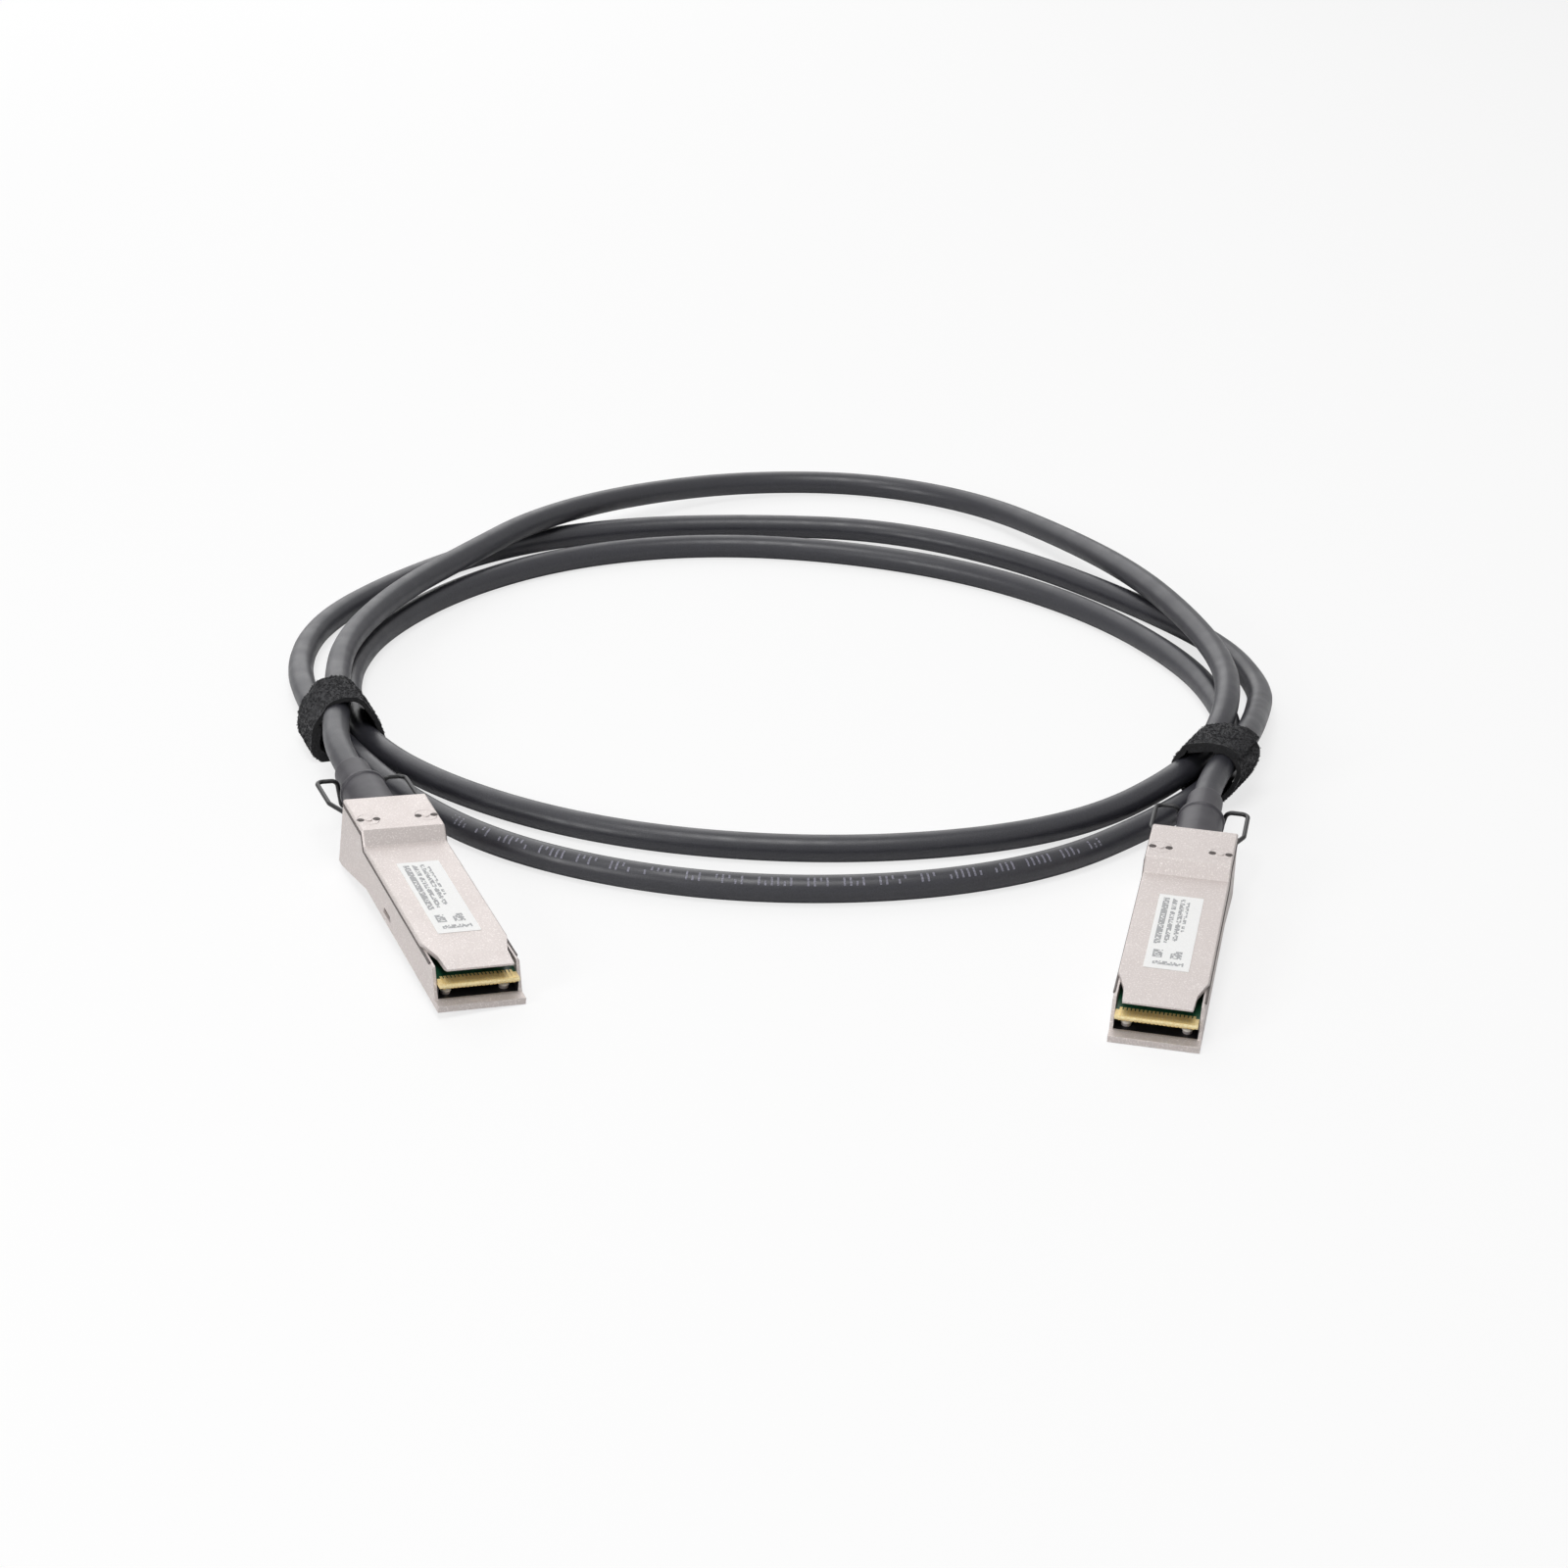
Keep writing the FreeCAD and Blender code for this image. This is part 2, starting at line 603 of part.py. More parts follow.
def make_chip(label):
    """Memory chip that identifies the cable, on top of the card."""
    chip = doc.addObject("Part::Box", label)
    chip.setExpression("Length", "sizes.chip_width")
    chip.setExpression("Width", "sizes.chip_length")
    chip.setExpression("Height", "sizes.chip_height")
    chip.setExpression("Placement.Base.x", "sizes.chip_across - sizes.chip_width / 2")
    chip.setExpression("Placement.Base.y", "-sizes.chip_depth - sizes.chip_length")
    chip.setExpression("Placement.Base.z", CARD_TOP)
    return keep(chip, label)


def make_latch_slider(label):
    """Stamped U: a bridge under the cable clamp, an ear and a long arm on each side."""
    body = doc.addObject("PartDesign::Body", label)
    side = new_sketch(body, "side", "YZ_Plane")
    arm_top = f"{ARM_BOTTOM} + sizes.arm_height"
    ear_front = f"-{BRIDGE_REAR} - sizes.ear_length"
    ear_top = "sizes.ear_eye_height + sizes.ear_rim"
    outline = [
        (f"-{BRIDGE_REAR}", "sizes.bridge_bottom"),
        ("-sizes.bridge_front", "sizes.bridge_bottom"),
        ("-sizes.bridge_front", ARM_BOTTOM),
        ("-sizes.arm_front", ARM_BOTTOM),
        ("-sizes.arm_front", arm_top),
        (ear_front, arm_top),
        (ear_front, ear_top),
        (f"-{BRIDGE_REAR}", ear_top),
    ]
    draw_outline(side, outline)
    add_pad(body, side, f"2 * {SLIDER_HALF}", "Symmetric")
    middle = new_sketch(body, "middle", "XZ_Plane")
    over = f"{ear_top} + sizes.running_gap"
    draw_box(middle, f"-{ARM_INNER}", ARM_INNER, BRIDGE_TOP, over)
    add_pocket(body, middle, backward=True)
    tabs = new_sketch(body, "spring_tabs", "XZ_Plane", TAB_REAR)
    tab_inner = f"({TAB_ACROSS} - sizes.tab_half)"
    tab_outer = f"({TAB_ACROSS} + sizes.tab_half)"
    draw_box_pair(tabs, tab_inner, tab_outer, "sizes.bridge_bottom", "sizes.tab_top")
    add_pad(body, tabs, "sizes.slider_gauge")
    eyes = new_sketch(body, "wire_eyes", "YZ_Plane")
    draw_circle(eyes, f"-{EYE_DEPTH}", "sizes.ear_eye_height", "sizes.wire_radius")
    add_pocket(body, eyes, "sizes.body_width", "Symmetric")
    ramps = new_sketch(body, "ramps", "XY_Plane", f"{ARM_BOTTOM} + sizes.running_gap")
    for sign in ("", "-"):
        corners = [
            (f"{sign}{ARM_INNER}", f"-{RAMP_REAR}"),
            (f"{sign}{SLIDER_HALF}", f"-{RAMP_REAR}"),
            (f"{sign}({SLIDER_HALF} + sizes.ramp_rise)", f"-{RAMP_REAR} - 2 * sizes.ramp_rise"),
            (f"{sign}({SLIDER_HALF} + sizes.ramp_rise)", f"-{RAMP_FRONT}"),
            (f"{sign}{ARM_INNER}", f"-{RAMP_FRONT}"),
        ]
        draw_outline(ramps, corners)
    add_pad(body, ramps, "sizes.window_height - 2 * sizes.running_gap")
    return keep(body, label)


def rounded_wire(points, radius=None):
    """Straight runs joined by tangent arcs, and the arcs' radii.

    Without a radius, each arc is as large as its two runs allow.
    """
    edges = []
    radii = []
    start = points[0]
    for before, corner, after in zip(points, points[1:], points[2:]):
        back = (before - corner).normalize()
        ahead = (after - corner).normalize()
        half_turn = (math.pi - back.getAngle(ahead)) / 2
        shorter = min((before - corner).Length, (after - corner).Length)
        if radius is None:
            trim = size("arc_share") * shorter
        else:
            trim = min(radius * math.tan(half_turn), size("arc_share") * shorter)
        bend = trim / math.tan(half_turn)
        arc_start = corner + back * trim
        arc_end = corner + ahead * trim
        inward = (back + ahead).normalize()
        middle = corner + inward * (bend / math.cos(half_turn) - bend)
        edges.append(Part.LineSegment(start, arc_start).toShape())
        edges.append(Part.Arc(arc_start, middle, arc_end).toShape())
        radii.append(bend)
        start = arc_end
    edges.append(Part.LineSegment(start, points[-1]).toShape())
    return Part.Wire(edges), radii


def round_tube(path, radius):
    """Solid of round section along a wire of runs and arcs."""
    first = path.Edges[0]
    heading = first.tangentAt(first.FirstParameter)
    section = Part.Wire(Part.makeCircle(radius, first.valueAt(first.FirstParameter), heading))
    return path.makePipeShell([section], True, False)


def make_return_springs(label):
    """Two compression springs between the head's seats and the slider's tabs."""
    wire = size("spring_wire")
    corners_per_turn = round(size("spring_corners"))
    count = round(size("spring_turns")) * corners_per_turn
    rear = -size("spring_seat") - (wire + size("running_gap")) / 2
    front = -value(TAB_REAR) + (wire + size("running_gap")) / 2
    radius = size("spring_radius")
    springs = []
    for across in (-value(TAB_ACROSS), value(TAB_ACROSS)):
        points = []
        for index in range(count + 1):
            turn = 2 * math.pi * index / corners_per_turn
            depth = rear + (front - rear) * index / count
            height = size("spring_height") + radius * math.sin(turn)
            points.append(Vector(across + radius * math.cos(turn), depth, height))
        springs.append(round_tube(rounded_wire(points)[0], wire / 2))
    feature = doc.addObject("Part::Feature", label)
    feature.Shape = Part.makeCompound(springs)
    return keep(feature, label)


def make_boot(label):
    """Moulded boot: a stem with a locking collar, a stout flange with a rim, and a neck."""
    body = doc.addObject("PartDesign::Body", label)
    rim_front = "sizes.flange_end - sizes.rim_width"
    rim_radius = "(sizes.flange_radius + sizes.rim_rise)"
    corners = [
        ("-sizes.stem_front", "0"),
        ("-sizes.stem_front", STEM_RADIUS),
        ("-sizes.collar_front", STEM_RADIUS),
        ("-sizes.collar_front", COLLAR_RADIUS),
        ("-sizes.collar_rear", COLLAR_RADIUS),
        ("-sizes.collar_rear", STEM_RADIUS),
        ("0", STEM_RADIUS),
        ("0", "sizes.flange_radius"),
        (rim_front, "sizes.flange_radius"),
        (f"{rim_front} + sizes.rim_rise", rim_radius),
        ("sizes.flange_end - sizes.rim_round", rim_radius),
        ("sizes.flange_end", f"{rim_radius} - sizes.rim_round"),
        ("sizes.flange_end", NECK_RADIUS),
        (f"{NECK_END} - sizes.neck_round", NECK_RADIUS),
        (NECK_END, f"{NECK_RADIUS} - sizes.neck_round"),
        (NECK_END, "0"),
    ]
    turn_about_cable(body, "PartDesign::Revolution", "boot", corners)
    return keep(body, label)


def make_ferrule(label):
    """Crimp sleeve round the cable's core."""
    body = doc.addObject("PartDesign::Body", label)
    corners = [
        ("-sizes.stem_front", FERRULE_BORE),
        ("-sizes.ferrule_front", FERRULE_BORE),
        ("-sizes.ferrule_front", FERRULE_RADIUS),
        ("-sizes.stem_front", FERRULE_RADIUS),
    ]
    turn_about_cable(body, "PartDesign::Revolution", "ferrule", corners)
    return keep(body, label)


def make_twinax_pairs(label):
    """Eight shielded pairs that fan out from the ferrule to both faces of the card."""
    pairs = []
    radius = size("pair_radius")
    offset = value(PAIR_OFFSET)
    for height in (size("axis_height") + offset, size("axis_height") - offset):
        for step in (-1.5, -0.5, 0.5, 1.5):
            entry = step * value(PAIR_PITCH)
            landing = step * size("fan_pitch")
            points = [
                Vector(entry, -size("stem_front"), height),
                Vector(entry, -size("fan_start"), height),
                Vector(landing, -size("fan_end"), height),
                Vector(landing, -size("pair_end"), height),
            ]
            pairs.append(round_tube(rounded_wire(points)[0], radius))
    feature = doc.addObject("Part::Feature", label)
    feature.Shape = Part.makeCompound(pairs)
    return keep(feature, label)


def make_pull_wire(label):
    """Bent wire loop whose hooked ends sit in the slider's ears and that dips under the boot."""
    eye = size("ear_eye_height")
    leg = value(ARM_INNER) - size("leg_inset")
    bow = size("body_width") / 2 + size("bow_overhang")
    grip = size("flange_end") + size("grip_gap")
    neck = value(NECK_RADIUS)
    dip = size("axis_height") - neck - size("wire_radius") - size("dip_clearance")
    half = [
        (value(SLIDER_HALF), -value(EYE_DEPTH), eye),
        (leg, -value(EYE_DEPTH), eye),
        (leg, size("bow_start"), eye),
        (bow, size("bow_end"), eye),
        (bow, grip, size("grip_height")),
        (neck + size("wire_radius") + size("dip_gap"), grip, size("grip_height")),
        (neck - size("dip_tuck"), grip, dip),
    ]
    points = [Vector(*corner) for corner in half]
    points += [Vector(-across, depth, height) for across, depth, height in reversed(half)]
    feature = doc.addObject("Part::Feature", label)
    feature.Shape = round_tube(rounded_wire(points, size("wire_bend"))[0], size("wire_radius"))
    return keep(feature, label)


def make_housing_screws(label):
    """Two flush screws with a two-slot drive that hold the shells together."""
    screws = []
    top = size("head_top")
    head_under = top - size("screw_head_thick")
    shank = head_under - size("screw_end")
    for across in (-value(SCREW_ACROSS), value(SCREW_ACROSS)):
        foot = Vector(across, -size("screw_depth"), size("screw_end"))
        head_foot = Vector(across, -size("screw_depth"), head_under)
        crown = Vector(across, -size("screw_depth"), top)
        screw = Part.makeCylinder(size("screw_shank_radius"), shank, foot)
        screw = screw.fuse(
            Part.makeCylinder(size("screw_head_radius"), size("screw_head_thick"), head_foot)
        )
        screw = screw.fuse(
            Part.makeCylinder(size("screw_boss_radius"), size("screw_boss_height"), crown)
        )
        width = size("slot_width")
        length = size("slot_length")
        for offset in (-size("slot_offset"), size("slot_offset")):
            corner = crown + Vector(offset - width / 2, -length / 2, -size("slot_depth"))
            screw = screw.cut(Part.makeBox(width, length, size("slot_depth"), corner))
        screws.append(screw.removeSplitter())
    feature = doc.addObject("Part::Feature", label)
    feature.Shape = Part.makeCompound(screws)
    return keep(feature, label)


def make_label(label):
    """Thin adhesive label on the lid."""
    plate = doc.addObject("Part::Box", label)
    plate.setExpression("Length", "sizes.label_width")
    plate.setExpression("Width", "sizes.label_length")
    plate.setExpression("Height", "sizes.label_thick")
    plate.setExpression("Placement.Base.x", "-sizes.label_width / 2")
    plate.setExpression("Placement.Base.y", "-sizes.label_rear - sizes.label_length")
    plate.setExpression("Placement.Base.z", "sizes.lid_top")
    return keep(plate, label)


def plug_pose(side):
    """Placement of a plug whose lowest corner rests on the floor."""
    turn = (
        FreeCAD.Rotation(Vector(0, 0, 1), size(f"{side}_yaw"))
        * FreeCAD.Rotation(Vector(1, 0, 0), size("nose_tilt"))
        * FreeCAD.Rotation(Vector(0, 1, 0), size(f"{side}_roll"))
    )
    half = size("body_width") / 2
    corners = []
    for across in (-half, half):
        corners.append(Vector(across, -size("nose_front"), size("body_floor")))
        corners.append(Vector(across, -size("underside_flat"), size("head_bottom")))
        corners.append(Vector(across, 0, size("head_bottom")))
    lowest = min(turn.multVec(corner).z for corner in corners)
    return FreeCAD.Placement(Vector(size(f"{side}_x"), size(f"{side}_y"), -lowest), turn)


def make_plug(side):
    """All pieces of one plug, set down at its pose, which is returned."""
    pieces = [
        make_top_shell(f"{side}_top_shell"),
        make_bottom_shell(f"{side}_bottom_shell"),
        make_paddle_card(f"{side}_paddle_card"),
        make_contact_pads(f"{side}_contact_pads"),
        make_chip(f"{side}_memory_chip"),
        make_latch_slider(f"{side}_latch_slider"),
        make_return_springs(f"{side}_return_springs"),
        make_pull_wire(f"{side}_pull_wire"),
        make_boot(f"{side}_strain_boot"),
        make_ferrule(f"{side}_crimp_ferrule"),
        make_twinax_pairs(f"{side}_twinax_pairs"),
        make_housing_screws(f"{side}_housing_screws"),
        make_label(f"{side}_label"),
    ]
    doc.recompute()
    pose = plug_pose(side)
    for piece in pieces:
        local = piece.Placement
        for path in ("Placement.Base.x", "Placement.Base.y", "Placement.Base.z"):
            piece.setExpression(path, None)
        piece.Placement = pose.multiply(local)
    return pose


def boot_mouth(pose, beyond):
    """Point on the cable's axis at the boot's end, or beyond it."""
    return pose.multVec(Vector(0, value(NECK_END) + beyond, size("axis_height")))


def make_cable(left, right):
    """Round jacket between the two boots; the first and last runs follow the plugs' axes."""
    points = [boot_mouth(left, 0), boot_mouth(left, size("left_exit_run"))]
    points += [Vector(*point) for point in CABLE_ROUTE]
    points += [boot_mouth(right, size("right_exit_run")), boot_mouth(right, 0)]
    path, radii = rounded_wire(points)
    radius = size("cable_diameter") / 2
    feature = doc.addObject("Part::Feature", "cable_jacket")
    feature.Shape = round_tube(path, radius)
    ideal = math.pi * radius**2 * path.Length
    print("cable arc radii:", " ".join(f"{bend:.1f}" for bend in radii))
    print(f"smallest radius {min(radii):.1f}, length {path.Length:.0f}")
    print(f"cable volume / (section x length) = {feature.Shape.Volume / ideal:.5f}")
    return keep(feature, "cable_jacket")


def make_strap(label, corners, pose, width):
    """Hook-and-loop band: a closed ring round the strands it gathers."""
    inner_reach = size("cable_diameter") / 2 + size("strap_slack")
    lowest = inner_reach + size("strap_thick")
    closed = corners + corners[:1]
    polygon = Part.makePolygon([Vector(across, 0, lowest + up) for across, up in closed])
    core = Part.Face(polygon)
    inner = core.makeOffset2D(inner_reach)
    outer = core.makeOffset2D(inner_reach + size("strap_thick"))
    ring = outer.cut(inner).extrude(Vector(0, width, 0))
    ring.translate(Vector(0, -width / 2, 0))
    feature = doc.addObject("Part::Feature", label)
    feature.Shape = ring
    turn = FreeCAD.Rotation(Vector(0, 0, 1), pose["heading"])
    feature.Placement = FreeCAD.Placement(Vector(*pose["middle"], 0), turn)
    return keep(feature, label)


left_pose = make_plug("left")
right_pose = make_plug("right")
make_cable(left_pose, right_pose)
make_strap("left_strap", LEFT_STRAP, LEFT_STRAP_POSE, size("left_strap_width"))
make_strap("right_strap", RIGHT_STRAP, RIGHT_STRAP_POSE, size("right_strap_width"))
doc.recompute()

for item in doc.Objects:
    if "Invalid" in item.State or "Error" in item.State:
        raise RuntimeError(f"{item.Label} did not recompute: {item.State}")
for node in nodes:
    if node.Shape.isNull() or not node.Shape.isValid():
        raise RuntimeError(f"{node.Label} has no valid shape")

os.makedirs("parts", exist_ok=True)
for node in nodes:
    node.Shape.exportStep(os.path.join("parts", f"{node.Label}.step"))
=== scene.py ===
"""Looks of a direct attach copper cable: two latched plugs and the one coiled cable between them.

Lengths are in metres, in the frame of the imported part. Each operator makes or finishes one group
of like pieces, and main() runs them in order.
"""

import json
import math
import random

import bmesh
import bpy
from bpy.props import FloatProperty, FloatVectorProperty, IntProperty, StringProperty
from bpy.types import Operator, Panel, PropertyGroup
from mathutils import Matrix, Vector

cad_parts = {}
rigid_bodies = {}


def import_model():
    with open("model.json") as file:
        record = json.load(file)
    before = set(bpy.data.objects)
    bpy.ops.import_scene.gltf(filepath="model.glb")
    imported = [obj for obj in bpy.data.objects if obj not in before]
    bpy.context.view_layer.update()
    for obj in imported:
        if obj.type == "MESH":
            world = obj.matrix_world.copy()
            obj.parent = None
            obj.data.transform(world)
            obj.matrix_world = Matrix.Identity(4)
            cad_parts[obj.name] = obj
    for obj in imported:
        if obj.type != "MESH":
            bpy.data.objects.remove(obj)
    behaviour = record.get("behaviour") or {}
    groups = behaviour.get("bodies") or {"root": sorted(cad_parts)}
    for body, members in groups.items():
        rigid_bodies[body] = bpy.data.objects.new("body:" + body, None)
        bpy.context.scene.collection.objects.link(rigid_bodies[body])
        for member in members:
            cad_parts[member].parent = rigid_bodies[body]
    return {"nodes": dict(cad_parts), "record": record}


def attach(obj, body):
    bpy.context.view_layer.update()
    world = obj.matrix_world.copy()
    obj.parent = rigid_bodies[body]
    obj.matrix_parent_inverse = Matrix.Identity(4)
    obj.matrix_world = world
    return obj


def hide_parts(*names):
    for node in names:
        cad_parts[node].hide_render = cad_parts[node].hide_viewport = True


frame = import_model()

bl_info = {
    "name": "Direct attach cable",
    "version": (1, 0, 0),
    "blender": (4, 5, 0),
    "location": "3D View > Sidebar > Cable",
    "description": "Dresses a coiled direct attach cable and its two plugs",
    "category": "Object",
}

MM = 0.001
NODES = frame["nodes"]
SIDES = ("left", "right")
ROOT = "cable_assembly"

# The lists and tables below are in millimetres. A plug's own frame has its rear face at Y 0, its
# mouth towards -Y, and Z up; a depth there is counted from the rear face towards the mouth.

# Chosen points of the cable, from the left boot's mouth to the right boot's mouth.
CABLE_ROUTE = [
    (-96.17, 47.34, 10.60), (-100.12, 56.51, 11.16),
    (-102.7, 68, 11.2), (-104, 84, 11.1), (-106.5, 99, 10.9), (-107.5, 118, 10.3), (-104.5, 137, 9.9),
    (-97, 158.5, 10), (-84, 182, 10), (-68.5, 209, 10.2), (-45, 237.5, 7.2), (-14, 260, 3.8),
    (21, 264, 3.05), (52, 248.5, 3.8), (74, 216.5, 6.4), (90, 182, 9.8), (101, 151, 10.2),
    (106.5, 123.5, 10.3), (104.6, 99, 11.1), (98.2, 78.4, 8.4), (88.0, 63.6, 6.6), (70.5, 49.5, 3.5),
    (46, 37.5, 3.05), (13, 30.5, 3.05), (-22, 32, 3.05), (-53, 41.5, 3.05), (-80.5, 59.0, 3.3),
    (-98.0, 77.9, 4.5), (-104.2, 99, 4.5), (-106.5, 124, 3.4), (-101, 150, 3.05), (-84, 178.5, 3.05),
    (-58, 201, 3.05), (-24, 212.5, 3.05), (13, 210.5, 3.05), (49, 197.5, 3.05), (79, 173, 3.05),
    (99, 141, 3.05), (105.6, 113, 3.4), (105.2, 91, 4.0), (100.0, 68.5, 4.2), (81.8, 47.4, 3.2),
    (60, 27, 3.05), (31, 14.5, 3.05), (-2, 10.5, 3.05), (-33, 15, 3.05), (-62, 28, 3.05),
    (-84, 48.5, 3.2), (-100.6, 71, 4.7), (-112, 94, 4.7), (-120, 123, 3.2), (-117.5, 151, 3.05),
    (-102, 179, 3.05), (-78, 206.5, 3.05), (-46, 222.5, 3.05), (-10, 228, 3.05), (26, 227, 3.05),
    (59, 210, 3.05), (87, 182.5, 3.05), (109.5, 153, 3.05), (116.2, 125, 3.4), (112.0, 102, 6.6),
    (105.5, 77, 10.7), (96.07, 58.45, 10.45), (93.66, 46.71, 9.89),
]

# Strap outlines round the cable centres: across the bundle, and height over the lowest strand.
# Each strap stands at middle, turned by heading in degrees. It starts on the side that lap points
# to and winds anticlockwise (turn 1) or clockwise (turn -1), seen from the mouths.
STRAPS = {
    "left": {
        "corners": [(-4.9, 0.3), (3.0, 0), (-0.6, 6.8), (-3.0, 6.7)],
        "middle": (-102.1, 83.0), "heading": 22.0, "width": 13.0,
        "lap": (-1, 0.2), "turn": 1, "overlap": 13.0, "seed": 11,
    },
    "right": {
        "corners": [(-2.4, 0), (-0.3, 0), (2.7, 5.6), (2.0, 6.2), (-2.8, 5.4), (-5.4, 4.0)],
        "middle": (99.9, 70.4), "heading": -27.0, "width": 12.5,
        "lap": (-0.5, 1), "turn": -1, "overlap": 13.0, "seed": 23,
    },
}

# A strap's mesh cell, the spread of its tufts, how high they raise the cloth, how deep a pile
# loop is rooted in it, and the turn in degrees between the points of an arc.
CLOTH = {"cell": 0.5, "tuft": 1.6, "relief": 0.3, "root": 0.1, "arc_step": 18}

# Marks on the strand at the front of the coil. They follow the route's points that are counted
# here, and lie between two angles forward of the strand's top, in degrees. A group is so many
# upright strokes; cells are the width of a stroke, and step and gap are counted in cells.
MARKS = {
    "points": (40, 50), "start": 46.0, "length": 152.0, "angles": (12, 52),
    "cell": 0.45, "step": 3, "gap": 5, "rows": 6, "seed": 31,
    "groups": (3, 4, 5, 4, 6, 3, 5, 4, 4, 6, 5, 3, 5, 4, 4, 5, 6),
}

# Thickness of a printed ink.
INK = 0.01

# Place of the mating mount in a plug's own frame.
MATING_POINT = (0, -71.2, 6.4)

# Inside of a plug's tray: half width between the walls, top of the floor, depth of the lip's rear
# edge, where the film ends, and height under the card.
TRAY = {"half": 8.425, "floor": 3.2, "lip": 68.2, "rear": 41.0, "rise": 2.3}

# Side line of the parting seam as (depth, height), and how far out it lies from the middle.
SEAM = [(0.2, 11.62), (14.2, 11.62), (16.5, 8.93), (63.6, 8.93)]
SEAM_ACROSS = 9.08

# Depth in front of which the card carries no mask.
MASK_EDGE = 66.4

# Blobs on the housing screws and on the posts in a plug's mouth: distance from the middle, depth,
# height, offset of a screw's two drive slots, radius, and how it is stretched along each axis.
# The screw blobs are dark painted shade, standing for the shadow in the drive slots.
SCREW = {"across": 6.35, "depth": 9.6, "top": 12.75, "slot": 1.75,
         "radius": 0.75, "stretch": (1.15, 1.05, 0.2)}
# The post blobs are white painted highlights on the posts' tops.
POST = {"across": 6.1, "depth": 65.8, "top": 3.98, "radius": 1.15, "stretch": (1, 1, 0.5)}

# How far under its middle a blob is cut off. The cut takes points up to 0.1 mm away as lying on
# it, so a cap ends at its middle, and a slot blob, which reaches only 0.15 mm down, isn't cut off.
BLOB_FOOT = 0.05

# Printed fields of a label as shares of its length from the rear, and of its width from the left:
# where a field starts and ends, and how much of it is inked.
FIELDS = [
    ((0.05, 0.68), (0.10, 0.25), 0.82),
    ((0.05, 0.66), (0.33, 0.42), 0.68),
    ((0.05, 0.62), (0.50, 0.59), 0.62),
    ((0.07, 0.50), (0.66, 0.72), 0.55),
    ((0.75, 0.86), (0.16, 0.36), 0.80),
    ((0.76, 0.86), (0.52, 0.80), 0.62),
    ((0.90, 0.94), (0.18, 0.84), 0.60),
]
LABEL_SEED = 7

# A face looks a given way if the cosine of its angle to that way is over this.
FACING = 0.3

# How bright the room shows in shiny surfaces, and how much of the floor's white is its own glow;
# white is 1.
SHINE = 0.78
GLOW = 0.75


# ---- settings


class CableSettings(PropertyGroup):
    """Sizes and colours of the cable and its boots."""

    diameter: FloatProperty(
        name="Cable diameter", description="Outside of the jacket", default=6.1 * MM, unit="LENGTH"
    )
    length: FloatProperty(
        name="Cable length", description="From boot to boot", default=1.846, unit="LENGTH"
    )
    jacket: StringProperty(
        name="Jacket colour", description="sRGB hex of the PVC jacket", default="303036"
    )
    boot: StringProperty(
        name="Boot colour", description="sRGB hex of the moulded boots", default="38363c"
    )


class StrapSettings(PropertyGroup):
    """Sizes and colours of the hook-and-loop straps."""

    thickness: FloatProperty(
        name="Strap thickness", description="Woven backing and hooks", default=1.1 * MM,
        unit="LENGTH",
    )
    slack: FloatProperty(
        name="Slack", description="Gap between the strap and the strands", default=0.2 * MM,
        unit="LENGTH",
    )
    bulge: FloatProperty(
        name="Bulge", description="How far a free run bows out, as a share of its length",
        default=0.07,
    )
    pile: FloatProperty(
        name="Pile height", description="Height of the nylon loops", default=0.4 * MM, unit="LENGTH"
    )
    thread: FloatProperty(
        name="Thread", description="Thickness of a pile thread, drawn coarse so that it shows",
        default=0.1 * MM, unit="LENGTH",
    )
    loops: IntProperty(
        name="Loops", description="Number of pile loops on each strap", default=4200, min=0
    )
    colour: StringProperty(
        name="Strap colour", description="sRGB hex of the nylon", default="19191d"
    )


class PlugSettings(PropertyGroup):
    """Colours of the plugs' metal, card and label, and sizes of their thin trim."""

    shell: StringProperty(
        name="Shell colour", description="sRGB hex of the plated casting", default="cac1be"
    )
    card: StringProperty(
        name="Card colour", description="sRGB hex of the solder mask", default="1d5a3c"
    )
    gold: StringProperty(
        name="Contact colour", description="sRGB hex of the gold plating", default="fbe9ae"
    )
    ink: StringProperty(
        name="Label ink", description="sRGB hex of the printed rows", default="a2a3a3"
    )
    ink_cell: FloatProperty(
        name="Ink cell", description="Smallest mark of the printed rows", default=0.33 * MM,
        unit="LENGTH",
    )
    # The seam cord is painted shade: it stands for the shadow in the seam's groove.
    seam_shade_thickness: FloatProperty(
        name="Gasket", description="Thickness of the cord in the parting seam", default=0.62 * MM,
        unit="LENGTH",
    )
    # The film is a black sheet of painted shade in the mouth, not a real insulating part.
    film: FloatProperty(
        name="Film", description="Thickness of the insulating film", default=0.05 * MM,
        unit="LENGTH",
    )


class StageSettings(PropertyGroup):
    """Place, aim and lens of the camera."""

    camera_place: FloatVectorProperty(
        name="Camera place", description="Where the camera stands", default=(0.0, -0.6075, 0.3217),
        subtype="XYZ", unit="LENGTH",
    )
    camera_target: FloatVectorProperty(
        name="Camera target", description="Point that the camera looks at", default=(0.0, 0.07, 0.0),
        subtype="XYZ", unit="LENGTH",
    )
    camera_lens: FloatProperty(
        name="Focal length", description="In millimetres on a 36 mm sensor", default=74.88
    )
    camera_roll: FloatProperty(
        name="Camera roll", description="Turn about the line of sight",
        default=math.radians(1.74), subtype="ANGLE",
    )


# ---- helpers


def linear(hex_colour):
    """Linear RGBA of an sRGB hex colour."""
    channels = [int(hex_colour[i : i + 2], 16) / 255 for i in (0, 2, 4)]
    curve = [c / 12.92 if c <= 0.04045 else ((c + 0.055) / 1.055) ** 2.4 for c in channels]
    return (*curve, 1.0)


def join(tree, node, links):
    """Wires a node: links maps a socket's name or number to the output that feeds it."""
    for name, output in links.items():
        tree.links.new(output, node.inputs[name])


